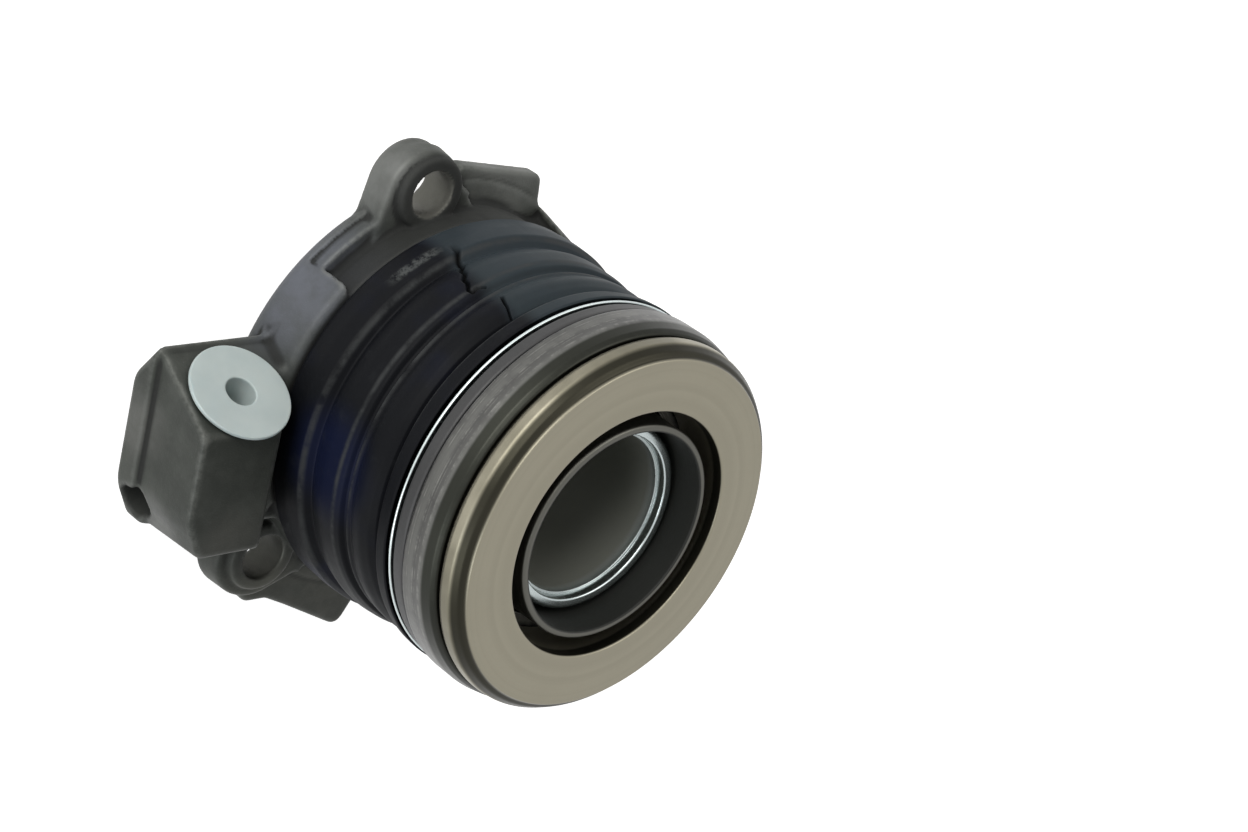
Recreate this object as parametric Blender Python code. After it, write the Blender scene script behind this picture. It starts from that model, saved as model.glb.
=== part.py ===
"""Concentric slave cylinder: a hydraulic clutch release unit that sits round a gearbox input shaft.

The shaft axis is Z, and the release bearing is at the top. Z is zero on the flange's rear face, which
bolts to the gearbox, and the rear spigot below it enters the gearbox's bore. Lengths are in metres.
"""
import math

import bmesh
import bpy
from mathutils import Matrix, Vector

# Gaps
SEAT_GAP = 0.0003          # between pieces that rest on each other
SLIDE_GAP = 0.00035        # between pieces that slide or turn in each other
STOP_GAP = 0.0005          # left between a stop and what meets it
STROKE = 0.0125            # travel of the release bearing from rest
CUT_REACH = 0.06           # how far a cutting shape runs on past the housing

# Smoothness
ROUND_STEPS = 36           # facets round a visible turned piece
INNER_STEPS = 24           # facets round a turned piece that the boot or the housing hides
HOLE_STEPS = 14            # facets round a drilled hole
CORNER_STEPS = 3           # facets in a rounded corner of an outline

# Guide tube
SHAFT_BORE_R = 0.0122
TUBE_WALL = 0.0012
TUBE_TOP_Z = 0.0439
TUBE_LIP_PROUD = 0.0009
TUBE_LIP_HEIGHT = 0.0022
TUBE_FOOT_PROUD = 0.0033
TUBE_FOOT_THICK = 0.0011

# Housing, turned part
SPIGOT_R = 0.0223
SPIGOT_DEPTH = 0.0075
SPIGOT_CHAMFER = 0.0006
FLOOR_Z = -0.0030          # bottom of the pressure chamber
FOOT_POCKET_DEPTH = 0.0015
CYLINDER_BORE_R = 0.0185
CYLINDER_WALL = 0.0025
RIM_R = 0.0322             # drum at the flange
RIM_CHAMFER = 0.0014
DRUM_TOP_R = 0.0306
DRUM_TOP_Z = 0.0100
DRUM_STRAIGHT_Z = 0.0020
DRUM_EDGE = 0.0008
NECK_R = 0.0290            # wall left standing behind the ledges
REGISTER_HEIGHT = 0.0024
REGISTER_WALL = 0.0013

# Spigot O-ring and tube seal
O_RING_SECTION = 0.0019
O_RING_PROUD = 0.00035
O_RING_Z = -0.0035
TUBE_SEAL_SECTION = 0.0012
TUBE_SEAL_Z = -0.0045

# Flange plate, ears and tabs
PLATE_THICK = 0.0028
BOLT_CIRCLE_R = 0.0330
BOLT_HOLE_R = 0.0034
EAR_ANGLES = (103.0, 223.0, 343.0)
EAR_FOOT_R = (0.0064, 0.0074, 0.0074)
EAR_TURN = (1.3, 0.0, 0.0)  # degrees that each ear's foot is turned from its bolt hole
EAR_HEEL_R = 0.0130
EAR_HEEL_AT = 0.0170       # how far out the ear's heel circle is centred
EAR_DRAFT = 0.0003         # how much the ear's foot narrows upward
EAR_FOOT_Z = 0.0054
EAR_REAR_Z = 0.0002        # the ears stand this far off the gearbox face
EAR_EDGE = 0.0005
EAR_BOSS_R = 0.0060
EAR_FACE_R = 0.0053
EAR_FACE_Z = 0.0066
LEDGE_Z = 0.0050
HIGH_LEDGES = ((-15.0, 34.0), (-20.0, 17.0), (-20.0, 20.0))   # degrees either side of each ear
LOW_LEDGES = ((-46.0, -14.0), (16.0, 45.0), None)             # level with the flange plate
TAB_CORNER = 0.0020
UPPER_TAB = ((0.0171, 0.0255), (0.0163, 0.0322), (0.0003, 0.0345), (-0.0040, 0.0310))
LOWER_TAB = ((-0.0285, -0.0255), (-0.0228, -0.0324), (-0.0189, -0.0325), (-0.0150, -0.0344),
             (-0.0042, -0.0401), (-0.0014, -0.0347), (-0.0014, -0.0290))
TAB_RAW = 0.0004           # trimmed off the tabs with the ledges

# Port block
BLOCK_OUT_X = -0.0464
BLOCK_IN_X = -0.0240
BLOCK_WALL_X = -0.0335     # inner wall of the part above the drum
BLOCK_LOW_Y = -0.0141      # at the front
BLOCK_LOW_DRAFT = 0.0009   # how much further down it reaches at the foot
BLOCK_LOW_STEP = 0.0002    # and how much more the foot itself
BLOCK_REAR_Z = 0.0002
BLOCK_FRONT_Z = 0.0164
BLOCK_STEP_Z = 0.0042
BLOCK_REAR_HIGH_Y = 0.0066 # the foot's upper side leans out from here
BLOCK_STEP = 0.0009        # how far the foot stands out on the outer side
BLOCK_HIGH_STEP = 0.0004   # and on the upper side
BLOCK_CORNER_X = 0.0027    # lower outer corner cut along X
BLOCK_CORNER_Y = 0.0056    # lower outer corner cut along Y
BLOCK_EDGE = 0.0007

# Fluid port
PORT_TILT = 30.0           # degrees above the flange plane
PORT_X = -0.0382
PORT_FACE_Y = 0.0045       # where the port's face meets the block's front
PORT_ALONG = 0.0059        # from that edge down the face to the port's axis
PORT_R = 0.0034
PORT_DEPTH = 0.0115
PORT_THROAT_DEPTH = 0.0157
DRILLING_R = 0.0016
DRILLING_MOUTH_R = 0.0026
DRILLING_MOUTH_DEPTH = 0.0060
DRILLING_Z = 0.0036
DRILLING_ALONG = 0.0022    # from the corner's outer edge to the drilling's axis

# Port plug
PLUG_HEAD_R = 0.0074
PLUG_HEAD_THICK = 0.0009
PLUG_STEM_LENGTH = 0.0100
PLUG_HOLE_R = 0.0022
PLUG_HOLE_DEPTH = 0.0075
PLUG_EDGE = 0.0003

# Piston group, heights at rest
PISTON_FLANGE_Z = 0.0330
PISTON_FLANGE_THICK = 0.0019
PISTON_FLANGE_R = 0.0250
PISTON_HUB_R = 0.0166
PISTON_HUB_RISE = 0.0011   # hub above the flange
SEAL_HEIGHT = 0.0036
SEAL_LIP = 0.0016
CARRIER_PLATE_INSET = 0.0003   # inside the bearing's outer radius
CARRIER_PLATE_THICK = 0.0007
CARRIER_INSET = 0.0004     # inside the bearing's outer radius
CARRIER_THICK = 0.0021
WAVE_POCKET_DEPTH = 0.0012
WAVE_WIDTH = 0.0046
WAVE_THICK = 0.0004
WAVE_HEIGHT = 0.0002
WAVE_COUNT = 4

# Release bearing, heights at rest
FACE_Z = 0.0492            # contact face
SLEEVE_INSET = 0.0001      # sleeve inside the piston's hub
SLEEVE_WALL = 0.0013
SLEEVE_TOP_Z = 0.0484
FACE_CLEARANCE = 0.0021    # from the sleeve to the contact face
RING_SECTION = 0.0103      # from the contact face's inner edge to the outside of the still ring
RACE_TAPER = 0.0008        # narrowing of the still ring towards the front
RACE_SHAPE = ((0.0, 0.1), (0.0, 0.6), (0.5, 0.88), (1.0, 1.0))   # shares of the taper and the height
RACE_WALL = 0.0019
RACE_FLOOR = 0.0014        # under the ball track
TRACK_DEPTH = 0.0005
RACE_GAP = 0.0004          # between the turning and the still ring
CONTACT_INSET = 0.0009     # turning ring inside the outside of the still ring
CONTACT_EDGE = 0.0018      # width of the turned edge outside the face
CONTACT_EDGE_SHAPE = ((0.0, 0.25), (0.3, 0.36), (0.42, 0.7), (0.62, 0.92))   # shares of it and of the height
CONTACT_THICK = 0.0039
CONTACT_SKIRT_WALL = 0.0015
BALL_R = 0.00225
BALL_COUNT = 12
BALL_GAP = 0.00025
CAGE_THICK = 0.0016
CAGE_POCKET_GAP = 0.0003

# Boot
BOOT_WALL = 0.0012
BOOT_LIP_HEIGHT = 0.0018
BOOT_FOLD_R = (0.0300, 0.0292, 0.0286)
BOOT_FOLD_TOP_Z = (0.0172, 0.0246, 0.0308)
BOOT_GROOVE = 0.0013
BOOT_GROOVE_HEIGHT = 0.0014
BOOT_COLLAR_WALL = 0.0036  # outside the piston's flange

# Preload spring
SPRING_R = 0.0234
SPRING_WIRE_R = 0.00075
SPRING_TURNS = 5
SPRING_TURN_STEPS = 16

# Sizes that follow
TUBE_R = SHAFT_BORE_R + TUBE_WALL
SLEEVE_R = PISTON_HUB_R - SLEEVE_INSET
FACE_IN_R = SLEEVE_R + FACE_CLEARANCE
RACE_R = FACE_IN_R + RING_SECTION
CONTACT_R = RACE_R - CONTACT_INSET
FACE_OUT_R = CONTACT_R - CONTACT_EDGE
BALL_CIRCLE_R = (FACE_IN_R + CONTACT_SKIRT_WALL + RACE_R - RACE_WALL) / 2.0
CARRIER_PLATE_R = RACE_R - CARRIER_PLATE_INSET
CARRIER_R = RACE_R - CARRIER_INSET
WAVE_IN_R = BALL_CIRCLE_R - WAVE_WIDTH / 2.0
WAVE_OUT_R = BALL_CIRCLE_R + WAVE_WIDTH / 2.0
BOOT_COLLAR_R = PISTON_FLANGE_R + SEAT_GAP + BOOT_COLLAR_WALL
BEARING_FLOOR_Z = PISTON_FLANGE_Z + PISTON_FLANGE_THICK + SEAT_GAP
CARRIER_Z = BEARING_FLOOR_Z + CARRIER_PLATE_THICK + SEAT_GAP
RACE_Z = CARRIER_Z + CARRIER_THICK + SEAT_GAP
BALL_Z = RACE_Z + RACE_FLOOR + BALL_GAP + BALL_R
CONTACT_Z = FACE_Z - CONTACT_THICK
CYLINDER_TOP_Z = PISTON_FLANGE_Z - STROKE - STOP_GAP
SEAL_Z = FLOOR_Z + STROKE + STOP_GAP
PISTON_FOOT_Z = SEAL_Z + SEAL_HEIGHT + SEAT_GAP
PISTON_HUB_TOP_Z = PISTON_FLANGE_Z + PISTON_FLANGE_THICK + PISTON_HUB_RISE
PISTON_IN_R = TUBE_R + SLIDE_GAP
PISTON_OUT_R = CYLINDER_BORE_R - SLIDE_GAP
TRACK_R = BALL_R + BALL_GAP
BOOT_HEEL_IN_R = BOOT_FOLD_R[0] - BOOT_GROOVE - BOOT_WALL - SEAT_GAP
REGISTER_R = BOOT_HEEL_IN_R - SEAT_GAP
BLOCK_HIGH_Y = PORT_FACE_Y + (BLOCK_FRONT_Z - BLOCK_STEP_Z) * math.tan(math.radians(PORT_TILT))
PORT_NORMAL = Vector((0.0, math.cos(math.radians(PORT_TILT)), math.sin(math.radians(PORT_TILT))))


def clear_scene():
    """Remove every object that the new file starts with."""
    for item in list(bpy.data.objects):
        bpy.data.objects.remove(item, do_unlink=True)


def finish_of(name, colour, roughness, metallic):
    """Return a plain Principled material."""
    material = bpy.data.materials.new(name)
    material.use_nodes = True
    shader = material.node_tree.nodes["Principled BSDF"]
    shader.inputs["Base Color"].default_value = (*colour, 1.0)
    shader.inputs["Roughness"].default_value = roughness
    shader.inputs["Metallic"].default_value = metallic
    return material


def add_object(name, mesh_maker, smooth_angle=35.0):
    """Make a mesh with a bmesh function and link it as a named object."""
    mesh = bpy.data.meshes.new(name)
    work = bmesh.new()
    mesh_maker(work)
    bmesh.ops.remove_doubles(work, verts=work.verts, dist=1e-6)
    bmesh.ops.recalc_face_normals(work, faces=work.faces)
    work.to_mesh(mesh)
    work.free()
    mesh.shade_smooth()
    mesh.set_sharp_from_angle(angle=math.radians(smooth_angle))
    item = bpy.data.objects.new(name, mesh)
    bpy.context.scene.collection.objects.link(item)
    return item


def place(item, matrix):
    """Set an object's place and turn."""
    item.matrix_world = matrix
    return item


def as_tool(item):
    """Mark an object as a shape that only cuts or adds to another."""
    item.hide_render = True
    item.display_type = "WIRE"
    return item


def combine(target, tool, operation):
    """Add an exact Boolean of the tool to the target."""
    step = target.modifiers.new(f"{operation.lower()}_{tool.name}", "BOOLEAN")
    step.operation = operation
    step.solver = "EXACT"
    step.object = as_tool(tool)


def turned(name, outline, steps=ROUND_STEPS, smooth_angle=35.0):
    """Turn an outline of (radius, height) points round Z, open along the axis where it ends on it."""
    on_axis = outline[0][0] == 0.0 and outline[-1][0] == 0.0

    def make(work):
        points = [work.verts.new((radius, 0.0, height)) for radius, height in outline]
        edges = [work.edges.new(pair) for pair in zip(points, points[1:])]
        if not on_axis:
            edges.append(work.edges.new((points[-1], points[0])))
        bmesh.ops.spin(work, geom=points + edges, cent=(0, 0, 0), axis=(0, 0, 1),
                       angle=2.0 * math.pi, steps=steps, use_merge=True)
    return add_object(name, make, smooth_angle)


def fill_prism(work, outline, top_outline, low, high):
    """Add a prism between two outlines with the same number of points."""
    bottom = [work.verts.new((x, y, low)) for x, y in outline]
    top = [work.verts.new((x, y, high)) for x, y in top_outline]
    work.faces.new(bottom[::-1])
    work.faces.new(top)
    for i in range(len(bottom)):
        j = (i + 1) % len(bottom)
        work.faces.new((bottom[i], bottom[j], top[j], top[i]))


def prism(name, outline, low, high, top_outline=None):
    """Extrude an XY outline from a low to a high Z, with another outline at the top if one is given."""
    def make(work):
        fill_prism(work, outline, top_outline or outline, low, high)
    return add_object(name, make)


def circle_points(centre, radius, steps):
    """Return points round a circle in XY."""
    turn = 2.0 * math.pi / steps
    return [(centre[0] + radius * math.cos(i * turn), centre[1] + radius * math.sin(i * turn))
            for i in range(steps)]


def polar(radius, degrees):
    """Return the XY point at a radius and an angle."""
    return (radius * math.cos(math.radians(degrees)), radius * math.sin(math.radians(degrees)))


def arc_points(centre, radius, start, end, steps):
    """Return points along an arc, with both ends, angles in degrees."""
    return [(centre[0] + radius * math.cos(math.radians(start + (end - start) * i / steps)),
             centre[1] + radius * math.sin(math.radians(start + (end - start) * i / steps)))
            for i in range(steps + 1)]


def rounded(corners, radius, steps=CORNER_STEPS):
    """Round each corner of an outline with an arc of the given radius."""
    points = []
    for i, corner in enumerate(corners):
        here = Vector(corner)
        back = (Vector(corners[i - 1]) - here)
        ahead = (Vector(corners[(i + 1) % len(corners)]) - here)
        half = back.angle(ahead) / 2.0
        reach = min(radius / math.tan(half), 0.45 * back.length, 0.45 * ahead.length)
        start = here + back.normalized() * reach
        end = here + ahead.normalized() * reach
        for k in range(steps + 1):
            t = k / steps
            points.append(tuple((1 - t) ** 2 * start + 2 * t * (1 - t) * here + t ** 2 * end))
    return points


def ear_outline(angle, tip_r):
    """Return the outline round an ear's tip circle and its wider heel nearer the axis."""
    gap = BOLT_CIRCLE_R - EAR_HEEL_AT
    lean = math.degrees(math.acos((EAR_HEEL_R - tip_r) / gap))
    tip = arc_points((BOLT_CIRCLE_R, 0.0), tip_r, -lean, lean, 4 * CORNER_STEPS)
    heel = arc_points((EAR_HEEL_AT, 0.0), EAR_HEEL_R, lean, 360.0 - lean, 4 * CORNER_STEPS)
    turn = Matrix.Rotation(math.radians(angle), 2)
    return [tuple(turn @ Vector(point)) for point in tip + heel]


def sector_outline(inner_r, outer_r, start, end):
    """Return the outline of a ring's sector."""
    steps = max(3, round(abs(end - start) / 7.5))
    return (arc_points((0, 0), outer_r, start, end, steps)
            + arc_points((0, 0), inner_r, end, start, steps))


def housing_profile():
    """Return the outline of the housing's turned part."""
    seal_out = TUBE_R + SEAT_GAP + TUBE_SEAL_SECTION + SEAT_GAP
    seal_half = TUBE_SEAL_SECTION / 2.0 + SEAT_GAP / 2.0
    hole_r = TUBE_R + SEAT_GAP
    foot_r = TUBE_R + TUBE_FOOT_PROUD + SEAT_GAP
    rear = -SPIGOT_DEPTH
    groove_half = O_RING_SECTION / 2.0 + SEAT_GAP / 2.0
    groove_r = SPIGOT_R + O_RING_PROUD - O_RING_SECTION - SEAT_GAP
    cylinder_r = CYLINDER_BORE_R + CYLINDER_WALL
    return [
        (hole_r, rear + FOOT_POCKET_DEPTH), (foot_r, rear + FOOT_POCKET_DEPTH), (foot_r, rear),
        (SPIGOT_R - SPIGOT_CHAMFER, rear), (SPIGOT_R, rear + SPIGOT_CHAMFER),
        (SPIGOT_R, O_RING_Z - groove_half), (groove_r, O_RING_Z - groove_half),
        (groove_r, O_RING_Z + groove_half), (SPIGOT_R, O_RING_Z + groove_half),
        (SPIGOT_R, 0.0), (RIM_R - RIM_CHAMFER, 0.0), (RIM_R, RIM_CHAMFER), (RIM_R, DRUM_STRAIGHT_Z),
        (DRUM_TOP_R, DRUM_TOP_Z - DRUM_EDGE), (DRUM_TOP_R - DRUM_EDGE, DRUM_TOP_Z),
        (REGISTER_R, DRUM_TOP_Z), (REGISTER_R, DRUM_TOP_Z + REGISTER_HEIGHT),
        (REGISTER_R - REGISTER_WALL, DRUM_TOP_Z + REGISTER_HEIGHT), (REGISTER_R - REGISTER_WALL, DRUM_TOP_Z),
        (cylinder_r, DRUM_TOP_Z), (cylinder_r, CYLINDER_TOP_Z - SPIGOT_CHAMFER),
        (cylinder_r - SPIGOT_CHAMFER, CYLINDER_TOP_Z), (CYLINDER_BORE_R + SPIGOT_CHAMFER, CYLINDER_TOP_Z),
        (CYLINDER_BORE_R, CYLINDER_TOP_Z - SPIGOT_CHAMFER), (CYLINDER_BORE_R, FLOOR_Z),
        (hole_r, FLOOR_Z), (hole_r, TUBE_SEAL_Z + seal_half), (seal_out, TUBE_SEAL_Z + seal_half),
        (seal_out, TUBE_SEAL_Z - seal_half), (hole_r, TUBE_SEAL_Z - seal_half),
    ]


def port_plane(along=0.0):
    """Return a point on the port's tilted face, a distance down from its front edge."""
    down = Vector((0.0, PORT_NORMAL.z, -PORT_NORMAL.y))
    return Vector((PORT_X, PORT_FACE_Y, BLOCK_FRONT_Z)) + down * along


def port_frame(offset=0.0):
    """Return the frame on the port's axis whose Z points out of the port."""
    turn = Vector((0, 0, 1)).rotation_difference(PORT_NORMAL).to_matrix().to_4x4()
    return Matrix.Translation(port_plane(PORT_ALONG) + PORT_NORMAL * offset) @ turn


def drilling_frame(offset=0.0):
    """Return the frame on the cross drilling's axis whose Z points out of the block's cut corner."""
    edge = Vector((BLOCK_CORNER_X, -BLOCK_CORNER_Y, 0.0)).normalized()
    outward = Vector((edge.y, -edge.x, 0.0))
    start = Vector((BLOCK_OUT_X, BLOCK_LOW_Y - BLOCK_LOW_DRAFT + BLOCK_CORNER_Y, DRILLING_Z))
    turn = Vector((0, 0, 1)).rotation_difference(outward).to_matrix().to_4x4()
    return Matrix.Translation(start + edge * DRILLING_ALONG + outward * offset) @ turn


def drilling_reach():
    """Return how far the cross drilling runs from the block's corner into the cylinder bore."""
    frame = drilling_frame()
    start = frame.to_translation().to_2d()
    inward = -(frame.to_3x3() @ Vector((0, 0, 1))).to_2d()
    nearest = -start.dot(inward)
    miss = (start + inward * nearest).length
    return nearest - math.sqrt((CYLINDER_BORE_R - DRILLING_R / 2.0) ** 2 - miss ** 2)


def block_outline(grow=0.0, high_y=BLOCK_HIGH_Y, draft=BLOCK_LOW_DRAFT):
    """Return the port block's outline seen along the shaft."""
    out_x = BLOCK_OUT_X - grow
    low_y = BLOCK_LOW_Y - draft
    return [(BLOCK_IN_X, high_y), (out_x, high_y), (out_x, low_y + BLOCK_CORNER_Y),
            (BLOCK_OUT_X + BLOCK_CORNER_X, low_y), (BLOCK_IN_X, low_y)]


def soften(item, width, segments=2):
    """Bevel an object's sharper edges."""
    step = item.modifiers.new("edge", "BEVEL")
    step.width = width
    step.segments = segments
    step.limit_method = "ANGLE"
    step.angle_limit = math.radians(25.0)


def make_port_block():
    """Model the block that holds the fluid port, with its tilted face and its stepped foot."""
    block = prism("block_upper", block_outline(), BLOCK_STEP_Z - BLOCK_EDGE / 2.0, BLOCK_FRONT_Z,
                  block_outline(draft=0.0))
    far = CUT_REACH
    down = Vector((0.0, PORT_NORMAL.z, -PORT_NORMAL.y))
    edge = Vector((0.0, PORT_FACE_Y, BLOCK_FRONT_Z))
    corners = [edge - down * far, edge + down * far,
               edge + down * far + PORT_NORMAL * far, edge - down * far + PORT_NORMAL * far]

    def wedge(work):
        sides = []
        for x in (-far, far):
            sides.append([work.verts.new((x, point.y, point.z)) for point in corners])
        work.faces.new(sides[0])
        work.faces.new(sides[1][::-1])
        for i in range(4):
            j = (i + 1) % 4
            work.faces.new((sides[0][i], sides[0][j], sides[1][j], sides[1][i]))

    combine(block, add_object("block_port_face_cut", wedge), "DIFFERENCE")
    wall = prism("block_wall_cut", [(BLOCK_WALL_X, -far), (0.0, -far), (0.0, far), (BLOCK_WALL_X, far)],
                 DRUM_TOP_Z - DRUM_EDGE, BLOCK_FRONT_Z + far)
    combine(block, wall, "DIFFERENCE")
    soften(block, BLOCK_EDGE)
    foot_draft = BLOCK_LOW_DRAFT + BLOCK_LOW_STEP
    foot = prism("block_foot", block_outline(BLOCK_STEP, BLOCK_REAR_HIGH_Y, foot_draft), BLOCK_REAR_Z,
                 BLOCK_STEP_Z, block_outline(BLOCK_STEP, BLOCK_HIGH_Y + BLOCK_HIGH_STEP, foot_draft))
    soften(foot, BLOCK_EDGE / 2.0, 1)
    return block, foot


def make_ear(angle, number):
    """Model a bolt ear: a low wide foot and a small tapered boss for the bolt's head."""
    foot_angle = angle + EAR_TURN[number]
    tip_r = EAR_FOOT_R[number]
    foot = prism(f"ear_foot_{number}", ear_outline(foot_angle, tip_r), EAR_REAR_Z, EAR_FOOT_Z,
                 ear_outline(foot_angle, tip_r - EAR_DRAFT))
    soften(foot, EAR_EDGE, 1)
    inner_r = NECK_R - EAR_EDGE
    inside = turned(f"ear_inside_cut_{number}", [(0.0, -DRUM_TOP_Z), (inner_r, -DRUM_TOP_Z),
                                                 (inner_r, DRUM_TOP_Z), (0.0, DRUM_TOP_Z)])
    combine(foot, inside, "DIFFERENCE")
    centre = polar(BOLT_CIRCLE_R, angle)
    boss = prism(f"ear_boss_{number}", circle_points(centre, EAR_BOSS_R, INNER_STEPS),
                 PLATE_THICK, EAR_FACE_Z, circle_points(centre, EAR_FACE_R, INNER_STEPS))
    return foot, boss


def housing_ledges():
    """Return the height and the angles of each level cut into the drum round the ears and tabs."""
    levels = []
    for angle, high, low in zip(EAR_ANGLES, HIGH_LEDGES, LOW_LEDGES):
        levels.append((LEDGE_Z, angle + high[0], angle + high[1]))
        if low:
            levels.append((PLATE_THICK, angle + low[0], angle + low[1]))
    return levels


def make_housing():
    """Model the die casting: turned part, flange plate, ears, ledges and port block."""
    housing = turned("housing", housing_profile())
    for name, corners in (("upper_tab", UPPER_TAB), ("lower_tab", LOWER_TAB)):
        combine(housing, prism(name, rounded(corners, TAB_CORNER), 0.0, PLATE_THICK + TAB_RAW), "UNION")
    for i, (height, start, end) in enumerate(housing_ledges()):
        cut = prism(f"ledge_cut_{i}", sector_outline(NECK_R, 2.0 * RIM_R, start, end), height,
                    DRUM_TOP_Z + PLATE_THICK)
        combine(housing, cut, "DIFFERENCE")
    for i, angle in enumerate(EAR_ANGLES):
        for piece in make_ear(angle, i):
            combine(housing, piece, "UNION")
    for piece in make_port_block():
        combine(housing, piece, "UNION")
    for i, angle in enumerate(EAR_ANGLES):
        hole = prism(f"bolt_hole_{i}", circle_points(polar(BOLT_CIRCLE_R, angle), BOLT_HOLE_R, HOLE_STEPS),
                     -SPIGOT_DEPTH, DRUM_TOP_Z)
        combine(housing, hole, "DIFFERENCE")
    port = turned("port_cut", [(0.0, -PORT_THROAT_DEPTH), (DRILLING_R, -PORT_THROAT_DEPTH),
                               (DRILLING_R, -PORT_DEPTH), (PORT_R, -PORT_DEPTH), (PORT_R, DRUM_TOP_Z),
                               (0.0, DRUM_TOP_Z)], HOLE_STEPS)
    combine(housing, place(port, port_frame()), "DIFFERENCE")
    reach = drilling_reach()
    drilling = turned("drilling_cut", [(0.0, -reach), (DRILLING_R, -reach),
                                       (DRILLING_R, -DRILLING_MOUTH_DEPTH),
                                       (DRILLING_MOUTH_R, -DRILLING_MOUTH_DEPTH),
                                       (DRILLING_MOUTH_R, DRUM_TOP_Z), (0.0, DRUM_TOP_Z)], HOLE_STEPS)
    combine(housing, place(drilling, drilling_frame()), "DIFFERENCE")
    return housing


def ring_outline(centre_r, centre_z, radius, sides):
    """Return the round section of an O-ring."""
    return [(centre_r + radius * math.cos(2.0 * math.pi * i / sides),
             centre_z + radius * math.sin(2.0 * math.pi * i / sides)) for i in range(sides)]


def make_guide_tube():
    """Model the tube on the gearbox shaft, with a rolled front lip and a pressed foot."""
    lip_r = TUBE_R + TUBE_LIP_PROUD
    half = TUBE_WALL / 2.0
    foot_top = FOOT_POCKET_DEPTH - SPIGOT_DEPTH - SEAT_GAP
    foot_r = TUBE_R + TUBE_FOOT_PROUD
    return turned("guide_tube", [
        (SHAFT_BORE_R, TUBE_TOP_Z - TUBE_WALL), (SHAFT_BORE_R + half / 2.0, TUBE_TOP_Z - half / 2.0),
        (SHAFT_BORE_R + half, TUBE_TOP_Z), (TUBE_R, TUBE_TOP_Z), (lip_r, TUBE_TOP_Z - half),
        (lip_r, TUBE_TOP_Z - TUBE_LIP_HEIGHT + half), (TUBE_R, TUBE_TOP_Z - TUBE_LIP_HEIGHT),
        (TUBE_R, foot_top), (foot_r, foot_top), (foot_r, foot_top - TUBE_FOOT_THICK),
        (SHAFT_BORE_R, foot_top - TUBE_FOOT_THICK)])


def make_static_seals():
    """Model the O-ring of the rear spigot and the seal between the tube and the housing."""
    section = O_RING_SECTION / 2.0
    seal = TUBE_SEAL_SECTION / 2.0
    return [
        turned("spigot_o_ring", ring_outline(SPIGOT_R + O_RING_PROUD - section, O_RING_Z, section, 6),
               INNER_STEPS),
        turned("tube_seal", ring_outline(TUBE_R + SEAT_GAP + seal, TUBE_SEAL_Z, seal, 6), INNER_STEPS),
    ]


def make_ball(name, radius, centre):
    """Model a steel ball."""
    def make(work):
        bmesh.ops.create_icosphere(work, subdivisions=2, radius=radius)
    return place(add_object(name, make, 60.0), Matrix.Translation(centre))


def make_drilling_ball():
    """Model the ball that closes the cross drilling's mouth."""
    radius = DRILLING_MOUTH_R - SEAT_GAP
    return make_ball("drilling_ball", radius,
                     drilling_frame(radius + SEAT_GAP - DRILLING_MOUTH_DEPTH).to_translation())


def make_port_plug():
    """Model the plug: a round head with a blind hole, on a stem that fills the port."""
    stem_r = PORT_R - SLIDE_GAP
    plug = turned("port_plug", [
        (0.0, PLUG_HEAD_THICK - PLUG_HOLE_DEPTH), (PLUG_HOLE_R, PLUG_HEAD_THICK - PLUG_HOLE_DEPTH),
        (PLUG_HOLE_R, PLUG_HEAD_THICK), (PLUG_HEAD_R - PLUG_EDGE, PLUG_HEAD_THICK),
        (PLUG_HEAD_R, PLUG_HEAD_THICK - PLUG_EDGE), (PLUG_HEAD_R, SEAT_GAP), (stem_r, SEAT_GAP),
        (stem_r, -PLUG_STEM_LENGTH + PLUG_EDGE), (stem_r - PLUG_EDGE, -PLUG_STEM_LENGTH),
        (0.0, -PLUG_STEM_LENGTH)], INNER_STEPS)
    return place(plug, port_frame())


def make_piston():
    """Model the annular piston with the flange and the hub that carry the bearing."""
    flange_top = PISTON_FLANGE_Z + PISTON_FLANGE_THICK
    return turned("piston", [
        (PISTON_IN_R, PISTON_FOOT_Z), (PISTON_OUT_R, PISTON_FOOT_Z), (PISTON_OUT_R, PISTON_FLANGE_Z),
        (PISTON_FLANGE_R, PISTON_FLANGE_Z), (PISTON_FLANGE_R, flange_top), (PISTON_HUB_R, flange_top),
        (PISTON_HUB_R, PISTON_HUB_TOP_Z), (PISTON_IN_R, PISTON_HUB_TOP_Z)], INNER_STEPS)


def make_piston_seal():
    """Model the lip seal under the piston, with its two lips towards the pressure chamber."""
    out_r = CYLINDER_BORE_R - SEAT_GAP
    in_r = TUBE_R + SEAT_GAP
    top = SEAL_Z + SEAL_HEIGHT
    lip = (out_r - in_r) / 4.0
    return turned("piston_seal", [
        (in_r, SEAL_Z), (in_r, top), (out_r, top), (out_r, SEAL_Z), (out_r - lip / 2.0, SEAL_Z),
        (out_r - lip, top - SEAL_LIP), (in_r + lip, top - SEAL_LIP), (in_r + lip / 2.0, SEAL_Z)], INNER_STEPS)


def make_carrier_plate():
    """Model the thin plate on the piston's flange, whose edge shows above the boot."""
    top = BEARING_FLOOR_Z + CARRIER_PLATE_THICK
    in_r = PISTON_HUB_R + SEAT_GAP
    return turned("carrier_plate", [(in_r, BEARING_FLOOR_Z), (CARRIER_PLATE_R, BEARING_FLOOR_Z),
                                    (CARRIER_PLATE_R, top), (in_r, top)])


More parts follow.
